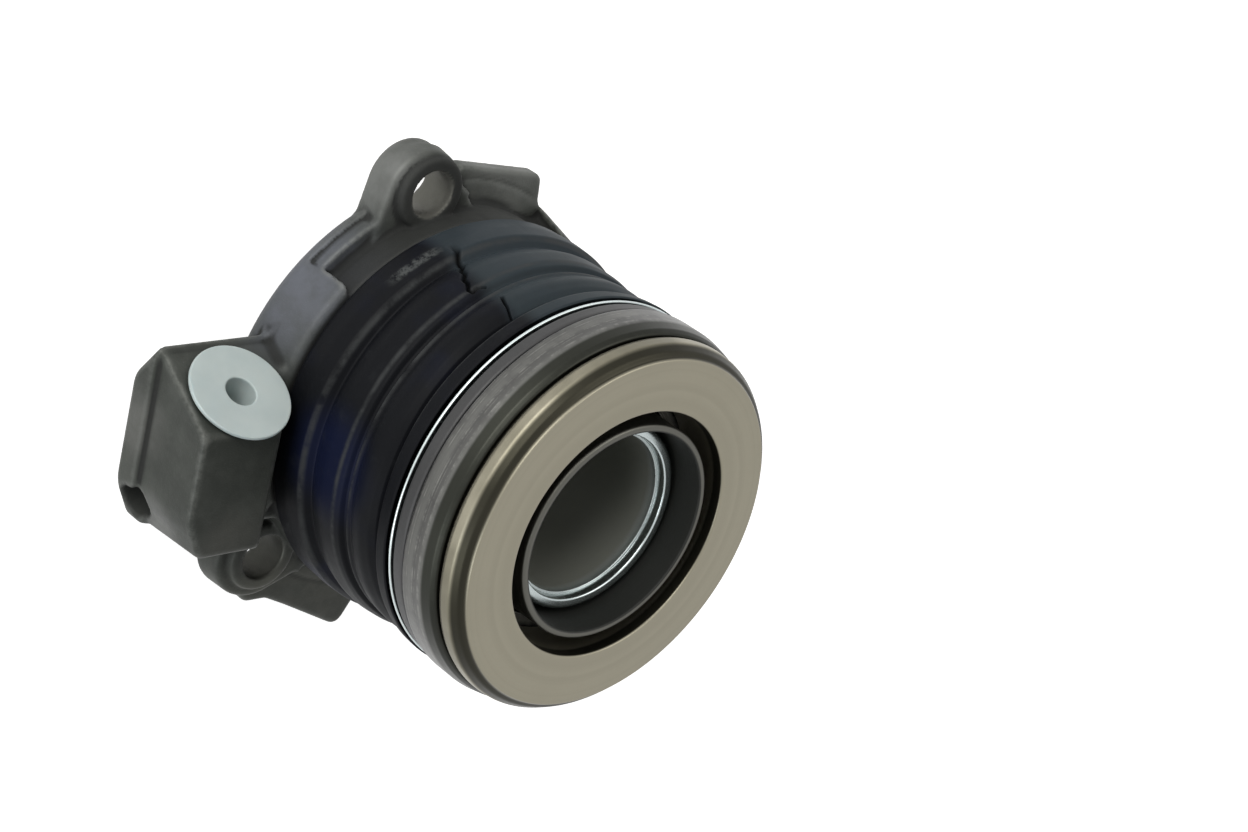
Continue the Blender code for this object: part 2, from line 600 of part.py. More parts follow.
def make_bearing_carrier():
    """Model the ring under the bearing, with a pocket for the wave spring."""
    top = CARRIER_Z + CARRIER_THICK
    floor = top - WAVE_POCKET_DEPTH
    in_r = PISTON_HUB_R + SEAT_GAP
    return turned("bearing_carrier", [
        (in_r, CARRIER_Z), (CARRIER_R, CARRIER_Z), (CARRIER_R, top), (WAVE_OUT_R + SEAT_GAP, top),
        (WAVE_OUT_R + SEAT_GAP, floor), (WAVE_IN_R - SEAT_GAP, floor), (WAVE_IN_R - SEAT_GAP, top),
        (in_r, top)])


def make_wave_spring():
    """Model the waved washer that lets the bearing align itself."""
    def make(work):
        steps = INNER_STEPS
        half = WAVE_THICK / 2.0
        middle = CARRIER_Z + CARRIER_THICK - WAVE_POCKET_DEPTH + SEAT_GAP + WAVE_HEIGHT + half
        rows = []
        for i in range(steps):
            angle = 2.0 * math.pi * i / steps
            height = middle + WAVE_HEIGHT * math.sin(WAVE_COUNT * angle)
            rows.append([work.verts.new((radius * math.cos(angle), radius * math.sin(angle), height + side))
                         for radius, side in ((WAVE_IN_R, -half), (WAVE_OUT_R, -half),
                                              (WAVE_OUT_R, half), (WAVE_IN_R, half))])
        for i in range(steps):
            here, there = rows[i], rows[(i + 1) % steps]
            for k in range(4):
                work.faces.new((here[k], here[(k + 1) % 4], there[(k + 1) % 4], there[k]))
    return add_object("wave_spring", make)


def track_points(upper):
    """Return the points of a ball track's groove, from the inside outward."""
    half = math.degrees(math.acos((TRACK_R - TRACK_DEPTH) / TRACK_R))
    middle = 90.0 if upper else 270.0
    side = 1.0 if upper else -1.0
    return arc_points((BALL_CIRCLE_R, BALL_Z), TRACK_R, middle + side * half, middle - side * half,
                      CORNER_STEPS)


def make_fixed_race():
    """Model the bearing ring that doesn't turn, a cup round the balls."""
    in_r = PISTON_HUB_R + SEAT_GAP
    floor = RACE_Z + RACE_FLOOR + TRACK_DEPTH
    top = CONTACT_Z - RACE_GAP
    height = top - RACE_Z
    side = [(RACE_R - RACE_TAPER * inward, RACE_Z + height * up) for inward, up in RACE_SHAPE]
    return turned("fixed_race", [
        (in_r, RACE_Z), (RACE_R - RACE_GAP, RACE_Z), *side, (RACE_R - RACE_WALL, top),
        (RACE_R - RACE_WALL, floor), *reversed(track_points(False)), (in_r, floor)])


def make_contact_ring():
    """Model the turning ring: contact face, turned edge, ball track and inner skirt."""
    flat = BALL_Z + TRACK_R - TRACK_DEPTH
    skirt_r = FACE_IN_R + CONTACT_SKIRT_WALL
    skirt_low = RACE_Z + RACE_FLOOR + TRACK_DEPTH + RACE_GAP
    inset_r = RACE_R - RACE_WALL - RACE_GAP
    edge = [(CONTACT_R - CONTACT_EDGE * inward, CONTACT_Z + CONTACT_THICK * up)
            for inward, up in CONTACT_EDGE_SHAPE]
    return turned("contact_ring", [
        (FACE_IN_R, skirt_low), (skirt_r, skirt_low), (skirt_r, flat), *track_points(True),
        (inset_r, flat), (inset_r, CONTACT_Z), (CONTACT_R, CONTACT_Z), *edge, (FACE_OUT_R, FACE_Z),
        (FACE_IN_R + SEAT_GAP, FACE_Z), (FACE_IN_R, FACE_Z - SEAT_GAP)])


def make_ball_cage():
    """Model the flat cage with a round pocket for each ball."""
    low = BALL_Z - CAGE_THICK / 2.0
    in_r = FACE_IN_R + CONTACT_SKIRT_WALL + RACE_GAP
    out_r = RACE_R - RACE_WALL - RACE_GAP
    high = BALL_Z + CAGE_THICK / 2.0
    cage = turned("ball_cage", [(in_r, low), (out_r, low), (out_r, high), (in_r, high)])

    def pockets(work):
        for i in range(BALL_COUNT):
            centre = polar(BALL_CIRCLE_R, 360.0 * i / BALL_COUNT)
            ring = circle_points(centre, BALL_R + CAGE_POCKET_GAP, HOLE_STEPS)
            fill_prism(work, ring, ring, low - CAGE_THICK, low + 2.0 * CAGE_THICK)
    combine(cage, add_object("cage_pocket_cut", pockets), "DIFFERENCE")
    return cage


def make_balls(cage):
    """Model the bearing's balls, one object each, carried by the cage."""
    balls = []
    for i in range(BALL_COUNT):
        x, y = polar(BALL_CIRCLE_R, 360.0 * i / BALL_COUNT)
        ball = make_ball(f"bearing_ball_{i + 1:02d}", BALL_R, Vector((x, y, BALL_Z)))
        ball.parent = cage
        balls.append(ball)
    return balls


def make_inner_sleeve():
    """Model the thin sleeve that lines the bearing's bore."""
    low = PISTON_HUB_TOP_Z + SEAT_GAP
    edge = SLEEVE_WALL / 4.0
    in_r = SLEEVE_R - SLEEVE_WALL
    return turned("inner_sleeve", [
        (in_r, low), (SLEEVE_R, low), (SLEEVE_R, SLEEVE_TOP_Z - edge), (SLEEVE_R - edge, SLEEVE_TOP_Z),
        (in_r + edge, SLEEVE_TOP_Z), (in_r, SLEEVE_TOP_Z - edge)])


def boot_outline():
    """Return the boot's section: a heel, three stepped folds with grooves, and a collar."""
    low = DRUM_TOP_Z + SEAT_GAP
    top = BEARING_FLOOR_Z - SEAT_GAP
    outer = [(BOOT_FOLD_R[0] - BOOT_WALL / 2.0, low)]
    inner = [(BOOT_HEEL_IN_R, low), (BOOT_HEEL_IN_R, low + BOOT_LIP_HEIGHT)]
    start = low + BOOT_WALL / 2.0
    for radius, end in zip(BOOT_FOLD_R, BOOT_FOLD_TOP_Z):
        groove_r = radius - BOOT_GROOVE
        outer += [(radius - BOOT_WALL / 4.0, start), (radius, (start + end) / 2.0),
                  (radius, end - BOOT_WALL / 3.0), (radius - BOOT_WALL / 3.0, end),
                  (groove_r, end + BOOT_GROOVE_HEIGHT / 2.0)]
        inner += [(radius - BOOT_WALL, end - BOOT_WALL),
                  (groove_r - BOOT_WALL, end + BOOT_GROOVE_HEIGHT / 2.0)]
        start = end + BOOT_GROOVE_HEIGHT
    outer += [(BOOT_COLLAR_R - BOOT_WALL / 2.0, start), (BOOT_COLLAR_R, start + BOOT_WALL / 2.0),
              (BOOT_COLLAR_R, top - BOOT_WALL / 3.0), (BOOT_COLLAR_R - BOOT_WALL / 3.0, top)]
    inner += [(PISTON_FLANGE_R + SEAT_GAP, PISTON_FLANGE_Z), (PISTON_FLANGE_R + SEAT_GAP, top)]
    return outer + inner[::-1]


def make_dust_boot():
    """Model the rubber boot between the housing and the bearing."""
    return turned("dust_boot", boot_outline(), ROUND_STEPS, 50.0)


def make_preload_spring():
    """Model the coil spring that holds the bearing forward."""
    low = DRUM_TOP_Z + SEAT_GAP + SPRING_WIRE_R
    high = PISTON_FLANGE_Z - SEAT_GAP - SPRING_WIRE_R
    steps = SPRING_TURNS * SPRING_TURN_STEPS
    curve = bpy.data.curves.new("preload_spring", "CURVE")
    curve.dimensions = "3D"
    curve.bevel_depth = SPRING_WIRE_R
    curve.bevel_resolution = 1
    curve.use_fill_caps = True
    wire = curve.splines.new("POLY")
    wire.points.add(steps)
    for i, point in enumerate(wire.points):
        angle = 2.0 * math.pi * i / SPRING_TURN_STEPS
        height = low + (high - low) * i / steps
        point.co = (SPRING_R * math.cos(angle), SPRING_R * math.sin(angle), height, 1.0)
    item = bpy.data.objects.new("preload_spring", curve)
    bpy.context.scene.collection.objects.link(item)
    return item


def dress(material, *items):
    """Give each object its material."""
    for item in items:
        item.data.materials.append(material)


def main():
    """Build the whole unit."""
    clear_scene()
    cast = finish_of("cast_alloy", (0.105, 0.10, 0.095), 0.5, 0.6)
    zinc = finish_of("zinc_plate", (0.66, 0.70, 0.72), 0.22, 1.0)
    steel = finish_of("turned_steel", (0.44, 0.40, 0.34), 0.32, 1.0)
    dark_steel = finish_of("dark_steel", (0.20, 0.19, 0.17), 0.35, 1.0)
    ball_steel = finish_of("ball_steel", (0.60, 0.60, 0.60), 0.12, 1.0)
    rubber = finish_of("black_rubber", (0.012, 0.013, 0.016), 0.45, 0.0)
    black_plastic = finish_of("black_plastic", (0.015, 0.015, 0.016), 0.5, 0.0)
    pale_plastic = finish_of("pale_plastic", (0.60, 0.66, 0.66), 0.45, 0.0)
    dress(cast, make_housing())
    dress(zinc, make_guide_tube(), make_carrier_plate())
    dress(rubber, make_dust_boot(), make_piston_seal(), *make_static_seals())
    dress(steel, make_contact_ring(), make_inner_sleeve())
    dress(dark_steel, make_fixed_race(), make_preload_spring(), make_wave_spring())
    cage = make_ball_cage()
    dress(black_plastic, make_piston(), make_bearing_carrier(), cage)
    dress(pale_plastic, make_port_plug())
    dress(ball_steel, make_drilling_ball(), *make_balls(cage))


main()
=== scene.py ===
"""Looks for a concentric slave cylinder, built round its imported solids.

Lengths are in metres, in the frame of the solids: the shaft axis is Z, the release bearing is at the
top, and Z is zero on the rear face of the flange.
"""

import logging
import math
from dataclasses import dataclass, field
from enum import Enum
from typing import Callable, Sequence

import bmesh
import bpy
import numpy as np
from mathutils import Matrix, Vector


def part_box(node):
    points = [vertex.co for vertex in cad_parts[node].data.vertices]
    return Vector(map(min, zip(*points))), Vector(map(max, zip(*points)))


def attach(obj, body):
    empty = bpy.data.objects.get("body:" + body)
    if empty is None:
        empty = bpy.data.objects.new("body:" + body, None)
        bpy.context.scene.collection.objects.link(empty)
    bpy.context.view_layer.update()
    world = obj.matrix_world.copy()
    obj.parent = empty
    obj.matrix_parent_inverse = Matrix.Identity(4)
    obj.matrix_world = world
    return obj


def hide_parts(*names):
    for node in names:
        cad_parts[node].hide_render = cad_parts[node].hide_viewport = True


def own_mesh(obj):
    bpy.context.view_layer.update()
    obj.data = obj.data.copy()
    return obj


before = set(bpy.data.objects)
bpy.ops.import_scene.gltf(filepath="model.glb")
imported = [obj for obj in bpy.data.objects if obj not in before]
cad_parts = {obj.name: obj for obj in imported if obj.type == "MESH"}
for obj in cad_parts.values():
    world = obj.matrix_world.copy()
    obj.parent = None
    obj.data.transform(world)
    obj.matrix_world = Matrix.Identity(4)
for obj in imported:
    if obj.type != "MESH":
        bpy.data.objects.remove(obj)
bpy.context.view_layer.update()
LOG = logging.getLogger("slave_cylinder")

Point = tuple[float, float]
Corner = tuple[float, float, float]
Colour = tuple[float, float, float, float]
Samples = np.ndarray
Solid = Callable[[Samples, Samples, Samples], Samples]
Warp = Callable[[Samples, Samples, Samples], tuple[Samples, Samples]]


class Body(Enum):
    """The CAD bodies that pieces ride on."""

    HOUSING = "root"
    SLIDER = "slider"
    RACE = "race"
    PLUG = "plug"


class Slot(Enum):
    """The material slots of the part's record."""

    CAST = "cast_alloy"
    ZINC = "zinc_plate"
    TURNED = "turned_steel"
    DARK = "dark_steel"
    BALL = "ball_steel"
    RUBBER = "black_rubber"
    BLACK = "black_plastic"
    PALE = "pale_plastic"


# Shader maths


class Value:
    """A number that varies over a surface. Its operators add Math nodes."""

    def __init__(self, nodes: "NodeSet", socket: bpy.types.NodeSocket) -> None:
        """Wrap an output socket.

        Args:
            nodes: The node set that the socket belongs to.
            socket: The output that gives the number.
        """
        self.nodes = nodes
        self.socket = socket

    def _math(self, operation: str, *terms: "float | Value") -> "Value":
        """Add one Math node.

        Args:
            operation: The node's operation.
            terms: Its operands, in order.

        Returns:
            The node's result.
        """
        made = self.nodes.node("ShaderNodeMath", {"operation": operation}, dict(enumerate(terms)))
        return Value(self.nodes, made.outputs[0])

    def __add__(self, other: "float | Value") -> "Value":
        """Return the sum."""
        return self._math("ADD", self, other)

    def __radd__(self, other: float) -> "Value":
        """Return the sum."""
        return self._math("ADD", other, self)

    def __sub__(self, other: "float | Value") -> "Value":
        """Return the difference."""
        return self._math("SUBTRACT", self, other)

    def __rsub__(self, other: float) -> "Value":
        """Return a number less this value."""
        return self._math("SUBTRACT", other, self)

    def __mul__(self, other: "float | Value") -> "Value":
        """Return the product."""
        return self._math("MULTIPLY", self, other)

    def __rmul__(self, other: float) -> "Value":
        """Return the product."""
        return self._math("MULTIPLY", other, self)

    def __pow__(self, power: "float | Value") -> "Value":
        """Return the power."""
        return self._math("POWER", self, power)

    def __rpow__(self, base: float) -> "Value":
        """Return a number raised to this value."""
        return self._math("POWER", base, self)

    def rising(self, low: float, high: float) -> "Value":
        """Return a smooth step from 0 at low to 1 at high.

        Args:
            low: The value where the step starts.
            high: The value where it ends.

        Returns:
            The step.
        """
        made = self.nodes.node("ShaderNodeMapRange", {"interpolation_type": "SMOOTHSTEP"},
                               {"Value": self, "From Min": low, "From Max": high})
        return Value(self.nodes, made.outputs[0])


class NodeSet:
    """The nodes of one material, round its Principled shader."""

    def __init__(self, name: str) -> None:
        """Start a material.

        Args:
            name: The material's name.
        """
        self.material = bpy.data.materials.new(name)
        self.material.use_nodes = True
        self.tree = self.material.node_tree
        self.shader = self.tree.nodes["Principled BSDF"]

    def feed(self, socket: bpy.types.NodeSocket, value: object) -> None:
        """Link a value to a socket, or set the socket where the value is constant.

        Args:
            socket: The input.
            value: A Value, an output socket, a number or a colour.
        """
        if isinstance(value, Value):
            self.tree.links.new(value.socket, socket)
        elif isinstance(value, bpy.types.NodeSocket):
            self.tree.links.new(value, socket)
        else:
            socket.default_value = value

    def node(self, kind: str, settings: dict, sockets: dict) -> bpy.types.Node:
        """Add a node.

        Args:
            kind: The node's type.
            settings: Its settings, set first.
            sockets: Values or links for its inputs, by name or number.

        Returns:
            The node.
        """
        made = self.tree.nodes.new(kind)
        for key, value in settings.items():
            setattr(made, key, value)
        for key, value in sockets.items():
            self.feed(made.inputs[key], value)
        return made

    def place(self) -> bpy.types.NodeSocket:
        """Return the place on the object, in metres."""
        return self.node("ShaderNodeTexCoord", {}, {}).outputs["Object"]

    def axes(self) -> tuple[Value, Value, Value]:
        """Return the place's three coordinates."""
        split = self.node("ShaderNodeSeparateXYZ", {}, {0: self.place()})
        return tuple(Value(self, output) for output in split.outputs)

    def radius(self) -> Value:
        """Return the distance from the shaft axis."""
        x, y, _ = self.axes()
        return (x * x + y * y) ** 0.5

    def distance(self, spot: tuple[float, float, float]) -> Value:
        """Return the distance from a spot on the object."""
        made = self.node("ShaderNodeVectorMath", {"operation": "DISTANCE"}, {0: self.place(), 1: spot})
        return Value(self, made.outputs["Value"])

    def noise(self, scale: float, detail: float, roughness: float) -> Value:
        """Return noise in space.

        Args:
            scale: Features a metre.
            detail: Octaves.
            roughness: Strength of the finer octaves.

        Returns:
            The noise, about 0 to 1.
        """
        made = self.node("ShaderNodeTexNoise", {}, {"Vector": self.place(), "Scale": scale,
                                                    "Detail": detail, "Roughness": roughness})
        return Value(self, made.outputs[0])

    def noise_along(self, position: Value, detail: float) -> Value:
        """Return noise along a line.

        Args:
            position: Where on the line, one feature a unit.
            detail: Octaves.

        Returns:
            The noise, about 0 to 1.
        """
        made = self.node("ShaderNodeTexNoise", {"noise_dimensions": "1D"},
                         {"W": position, "Scale": 1.0, "Detail": detail})
        return Value(self, made.outputs[0])

    def attribute(self, name: str) -> Value:
        """Return a number stored at the mesh's points."""
        return Value(self, self.node("ShaderNodeAttribute", {"attribute_name": name}, {}).outputs["Fac"])

    def mix(self, factor: Value, low: object, high: object) -> bpy.types.NodeSocket:
        """Mix two colours.

        Args:
            factor: Share of the second colour.
            low: The colour at 0.
            high: The colour at 1.

        Returns:
            The mixed colour.
        """
        made = self.node("ShaderNodeMix", {"data_type": "RGBA"}, {0: factor, 6: low, 7: high})
        return made.outputs[2]

    def bump(self, height: Value, depth: float,
             under: bpy.types.NodeSocket | None = None) -> bpy.types.NodeSocket:
        """Turn a height into a normal.

        Args:
            height: The height, 0 to 1.
            depth: What a height of 1 is in metres.
            under: The normal of the coarser relief below, if there is one.

        Returns:
            The normal.
        """
        sockets = {"Height": height, "Distance": depth, "Strength": 1.0}
        if under is not None:
            sockets["Normal"] = under
        return self.node("ShaderNodeBump", {}, sockets).outputs[0]

    def finish(self, **sockets: object) -> bpy.types.Material:
        """Feed the shader's sockets and return the material.

        Args:
            sockets: Values by socket name, with underscores for spaces.

        Returns:
            The material.
        """
        for key, value in sockets.items():
            self.feed(self.shader.inputs[key.replace("_", " ")], value)
        return self.material


# Finishes


@dataclass(frozen=True)
class CastFinish:
    """Die-cast alloy with painted shade in its corners, holes and round the boot's neck, painted pools of
    light, worn edges and machined holes.
    """

    name: str = "cast_alloy"
    dark: Colour = (0.022, 0.025, 0.021, 1.0)
    light: Colour = (0.044, 0.048, 0.042, 1.0)
    # Painted shade: the colour laid in corners, on hole walls, on boss faces and round the boot's neck.
    painted_shade: Colour = (0.010, 0.0105, 0.010, 1.0)
    worn: Colour = (0.15, 0.155, 0.145, 1.0)
    machined: Colour = (0.105, 0.104, 0.092, 1.0)
    painted_light_pools: tuple = (
        # painted pools of light, where the lamps fall: place, reach, strength, colour
        ((-0.0240, 0.0190, 0.0040), 0.0160, 1.0, (0.084, 0.090, 0.106, 1.0)),
        ((-0.0128, 0.0340, 0.0020), 0.0085, 1.0, (0.135, 0.139, 0.134, 1.0)),
        ((0.0090, 0.0315, 0.0028), 0.0120, 1.0, (0.115, 0.120, 0.112, 1.0)),
        ((-0.0090, -0.0350, 0.0028), 0.0130, 1.0, (0.100, 0.100, 0.085, 1.0)),
        ((-0.0235, -0.0290, 0.0050), 0.0100, 1.0, (0.100, 0.100, 0.082, 1.0)),
        ((-0.0470, 0.0000, 0.0030), 0.0070, 0.7, (0.110, 0.111, 0.104, 1.0)),
        ((-0.0385, -0.0125, 0.0160), 0.0080, 0.6, (0.075, 0.075, 0.066, 1.0)),
        ((-0.0462, -0.0128, 0.0080), 0.0060, 1.0, (0.135, 0.137, 0.132, 1.0)),
    )
    grain: float = 3600.0
    grain_depth: float = 0.000018
    metallic: float = 0.25

    def make(self) -> bpy.types.Material:
        """Make the material's nodes.

        Returns:
            The material.
        """
        nodes = NodeSet(self.name)
        cloud = nodes.noise(95.0, 5.0, 0.6)
        stain = nodes.noise(38.0, 3.0, 0.5)
        speck = nodes.noise(self.grain, 3.0, 0.65)
        fine = nodes.noise(900.0, 4.0, 0.6)
        worn = nodes.attribute("worn")
        cut = nodes.attribute("machined")
        colour = nodes.mix(cloud.rising(0.34, 0.66), self.dark, self.light)
        mottle = nodes.noise(210.0, 4.0, 0.6).rising(0.38, 0.62)
        smear = 0.30 + 0.40 * stain.rising(0.35, 0.62) + 0.30 * mottle
        # Painted light: each pool lightens the colour round its place, as falling light would.
        for spot, reach, strength, light_pool_colour in self.painted_light_pools:
            near = 1.0 - nodes.distance(spot).rising(0.25 * reach, reach)
            colour = nodes.mix(near * strength * smear, colour, light_pool_colour)
        colour = nodes.mix(speck.rising(0.58, 0.80) * 0.22, colour, self.worn)
        colour = nodes.mix(worn * (0.10 + 0.40 * fine.rising(0.30, 0.62)), colour, self.worn)
        # Painted shade: darker, rougher and duller where shade falls in corners, holes and recesses.
        painted_shade = nodes.attribute("painted_shade")
        colour = nodes.mix(painted_shade * 0.92, colour, self.painted_shade)
        colour = nodes.mix(cut, colour, self.machined)
        roughness = 0.48 + 0.16 * fine - 0.12 * cut - 0.08 * worn + 0.28 * painted_shade
        rough_grain = nodes.bump(speck, self.grain_depth)
        skin = nodes.bump(fine, 2.2 * self.grain_depth, rough_grain)
        return nodes.finish(Base_Color=colour, Roughness=roughness, Normal=skin, Specular_IOR_Level=0.30,
                            Metallic=self.metallic + (0.95 - self.metallic) * cut - self.metallic * painted_shade)


@dataclass(frozen=True)
class TurnedFinish:
    """Turned metal with fine rings round the shaft axis and, where asked, painted shade in a band and
    inside a bore.
    """

    name: str
    base: Colour
    shade: Colour
    roughness: float
    pitch: float = 0.00035
    depth: float = 0.000004
    blotch: float = 0.25
    metallic: float = 1.0
    # Painted shade: a darker band between two heights, with its colour.
    shaded_band: Point = (0.0, 0.0)
    band_shade: Colour = (0.024, 0.023, 0.017, 1.0)
    # Painted shade inside a bore: below this radius and top, the colour turns to the bore colour and the
    # metal duller.
    shaded_bore_radius: float = 0.0
    shaded_bore_top: float = 1.0
    bore: Colour = (0.02, 0.02, 0.017, 1.0)
    streak: float = 0.0
    bright: Colour = (0.27, 0.27, 0.25, 1.0)
    edge_radius: float = 0.0
    edge_stain: Colour = (0.105, 0.098, 0.072, 1.0)

    def make(self) -> bpy.types.Material:
        """Make the material's nodes.

        Returns:
            The material.
        """
        nodes = NodeSet(self.name)
        radius = nodes.radius()
        _, _, height = nodes.axes()
        along = (radius + height * 0.83) * (1.0 / self.pitch)
        rings = nodes.noise_along(along, 3.0)
        broad = nodes.noise_along(along * 0.17, 2.0)
        cloud = nodes.noise(130.0, 4.0, 0.6)
        smear = nodes.noise(1400.0, 3.0, 0.6)
        colour = nodes.mix(broad.rising(0.35, 0.68) * 0.55, self.base, self.shade)
        colour = nodes.mix(cloud.rising(0.45, 0.75) * self.blotch, colour, self.shade)
        if self.streak:
            fleck = rings.rising(0.44, 0.66) * nodes.noise(620.0, 4.0, 0.7).rising(0.40, 0.66)
            colour = nodes.mix(fleck * self.streak, colour, self.bright)
        if self.edge_radius:
            edge = radius.rising(self.edge_radius, self.edge_radius + 0.0004)
            stain = edge * (0.15 + 0.60 * nodes.noise(62.0, 3.0, 0.55).rising(0.40, 0.62))
            colour = nodes.mix(stain, colour, self.edge_stain)
        roughness = self.roughness + 0.10 * (rings - 0.5) + 0.10 * (smear - 0.5)
        metallic = self.metallic
        # Painted shade: darken the band between the two heights.
        if self.shaded_band[1]:
            low, high = self.shaded_band
            above = height.rising(low - 0.0003, low + 0.0003)
            below = 1.0 - height.rising(high - 0.0002, high + 0.0002)
            colour = nodes.mix(above * below * 0.96, colour, self.band_shade)
        # Painted shade: the inside of the bore is darkened and dulled.
        if self.shaded_bore_radius:
            within = 1.0 - radius.rising(self.shaded_bore_radius, self.shaded_bore_radius + 0.0003)
            inside = within * (1.0 - height.rising(self.shaded_bore_top - 0.0025, self.shaded_bore_top))
            colour = nodes.mix(inside, colour, self.bore)
            roughness = roughness + 0.25 * inside
            metallic = self.metallic - 0.7 * inside
        relief = nodes.bump(rings, self.depth)
        return nodes.finish(Base_Color=colour, Roughness=roughness, Metallic=metallic, Normal=relief)


@dataclass(frozen=True)
class RubberFinish:
    """Moulded black rubber with a navy tint and a thin dusty bloom, a painted lighter side, painted
    highlights along the fold edges and painted shade in the cracks.
    """

    name: str = "black_rubber"
    black: Colour = (0.0036, 0.0040, 0.0052, 1.0)
    navy: Colour = (0.0045, 0.0065, 0.0200, 1.0)
    # Painted light: the lighter colour of the boot's side that faces the light.
    painted_lit_side: Colour = (0.027, 0.035, 0.040, 1.0)
    # Painted highlight: the lighter colour laid along the fold edges.
    ridge_highlight: Colour = (0.040, 0.042, 0.043, 1.0)
    folds: tuple[float, ...] = (0.0168, 0.0235, 0.0256, 0.0325)
    bloom: Colour = (0.020, 0.022, 0.024, 1.0)
    navy_at: tuple[float, float, float] = (-0.0288, 0.0010, 0.0210)
    scraped: Colour = (0.075, 0.080, 0.080, 1.0)
    scraped_at: tuple[float, float, float] = (-0.0150, 0.0260, 0.0143)
    # Painted shade: near black, laid in the cracks.
    torn: Colour = (0.0005, 0.0005, 0.0005, 1.0)
    grain: float = 5200.0
    grain_depth: float = 0.000012

    def make(self) -> bpy.types.Material:
        """Make the material's nodes.

        Returns:
            The material.
        """
        nodes = NodeSet(self.name)
        patch = nodes.noise(48.0, 3.0, 0.5)
        dust = nodes.noise(260.0, 5.0, 0.65)
        grain = nodes.noise(self.grain, 2.0, 0.5)
        torn = nodes.attribute("crack")
        across, up, height = nodes.axes()
        near = 1.0 - nodes.distance(self.navy_at).rising(0.003, 0.010)
        colour = nodes.mix(patch.rising(0.50, 0.66) * 0.6, self.black, self.navy)
        colour = nodes.mix(near, colour, self.navy)
        # Painted light: the side towards +X and +Y is lighter, as if lit.
        painted_lit_mask = across.rising(-0.0125, -0.0095) * up.rising(0.002, 0.016)
        colour = nodes.mix(painted_lit_mask * 0.85, colour, self.painted_lit_side)
        colour = nodes.mix(dust.rising(0.55, 0.85) * 0.4, colour, self.bloom)
        # Painted highlight: thin lighter lines at each fold edge, broken up by the dust noise.
        for fold in self.folds:
            line = height.rising(fold - 0.0006, fold) * (1.0 - height.rising(fold, fold + 0.0005))
            colour = nodes.mix(line * dust.rising(0.30, 0.62) * 0.75, colour, self.ridge_highlight)
        scrape = 1.0 - nodes.distance(self.scraped_at).rising(0.0020, 0.0056)
        scrape = scrape * height.rising(0.0131, 0.0138) * (1.0 - height.rising(0.0147, 0.0154))
        scrape = scrape * nodes.noise(1200.0, 4.0, 0.7).rising(0.36, 0.62)
        colour = nodes.mix(scrape * 0.8, colour, self.scraped)
        # Painted shade: the cracks are made near black and rougher.
        colour = nodes.mix(torn, colour, self.torn)
        roughness = 0.40 + 0.20 * dust + 0.35 * torn
        skin = nodes.bump(grain, self.grain_depth)
        return nodes.finish(Base_Color=colour, Roughness=roughness, Normal=skin, Specular_IOR_Level=0.065)


@dataclass(frozen=True)
class PlasticFinish:
    """Moulded plastic with a faint cloud and a fine skin."""

    name: str
    base: Colour
    cloud: Colour
    roughness: float
    translucent: float = 0.0
    glow_radius: tuple[float, float, float] = (0.6, 0.8, 0.9)
    glow_scale: float = 0.0016
    skin: float = 2600.0
    skin_depth: float = 0.000008

    def make(self) -> bpy.types.Material:
        """Make the material's nodes.

        Returns:
            The material.
        """
        nodes = NodeSet(self.name)
        patch = nodes.noise(170.0, 3.0, 0.5)
        skin = nodes.noise(self.skin, 3.0, 0.55)
        colour = nodes.mix(patch.rising(0.35, 0.70), self.base, self.cloud)
        roughness = self.roughness + 0.14 * (skin - 0.5)
        relief = nodes.bump(skin, self.skin_depth)
        made = nodes.finish(Base_Color=colour, Roughness=roughness, Normal=relief)
        if self.translucent:
            nodes.finish(Subsurface_Weight=self.translucent, Subsurface_Radius=self.glow_radius,
                         Subsurface_Scale=self.glow_scale)
        return made


Finish = CastFinish | TurnedFinish | RubberFinish | PlasticFinish


@dataclass(frozen=True)
class Finishes:
    """Every finish on the part, by material slot."""

    table: dict[Slot, Finish] = field(default_factory=lambda: {
        Slot.CAST: CastFinish(),
        # Its bore colour is painted shade inside the guide tube.
        Slot.ZINC: TurnedFinish(
            "zinc_plate", base=(0.56, 0.62, 0.62, 1.0), shade=(0.34, 0.38, 0.38, 1.0), roughness=0.24,
            blotch=0.3, shaded_bore_radius=0.01245, shaded_bore_top=0.0432, bore=(0.20, 0.205, 0.18, 1.0)),
        # Its band is painted shade in the turning ring's groove.
        Slot.TURNED: TurnedFinish(
            "turned_steel", base=(0.285, 0.266, 0.206, 1.0), shade=(0.250, 0.233, 0.180, 1.0),
            roughness=0.40, shaded_band=(0.0474, 0.0490), edge_radius=0.0266),
        # Its band is painted shade on the still ring next to the turning ring.
        Slot.DARK: TurnedFinish(
            "dark_steel", base=(0.112, 0.112, 0.106, 1.0), shade=(0.050, 0.049, 0.049, 1.0), roughness=0.38,
            blotch=0.85, shaded_band=(0.0427, 0.0460), band_shade=(0.022, 0.023, 0.019, 1.0), streak=0.40),
        Slot.BALL: TurnedFinish(
            "ball_steel", base=(0.56, 0.56, 0.55, 1.0), shade=(0.44, 0.44, 0.43, 1.0), roughness=0.14),
        Slot.RUBBER: RubberFinish(),
        Slot.BLACK: PlasticFinish(
            "black_plastic", base=(0.010, 0.010, 0.0105, 1.0), cloud=(0.014, 0.014, 0.015, 1.0),
            roughness=0.5),
        Slot.PALE: PlasticFinish(
            "pale_plastic", base=(0.40, 0.455, 0.450, 1.0), cloud=(0.36, 0.415, 0.415, 1.0),
            roughness=0.42, translucent=0.3),
    })

    def make(self) -> dict[Slot, bpy.types.Material]:
        """Return the materials by slot."""
        return {slot: finish.make() for slot, finish in self.table.items()}


# Meshes


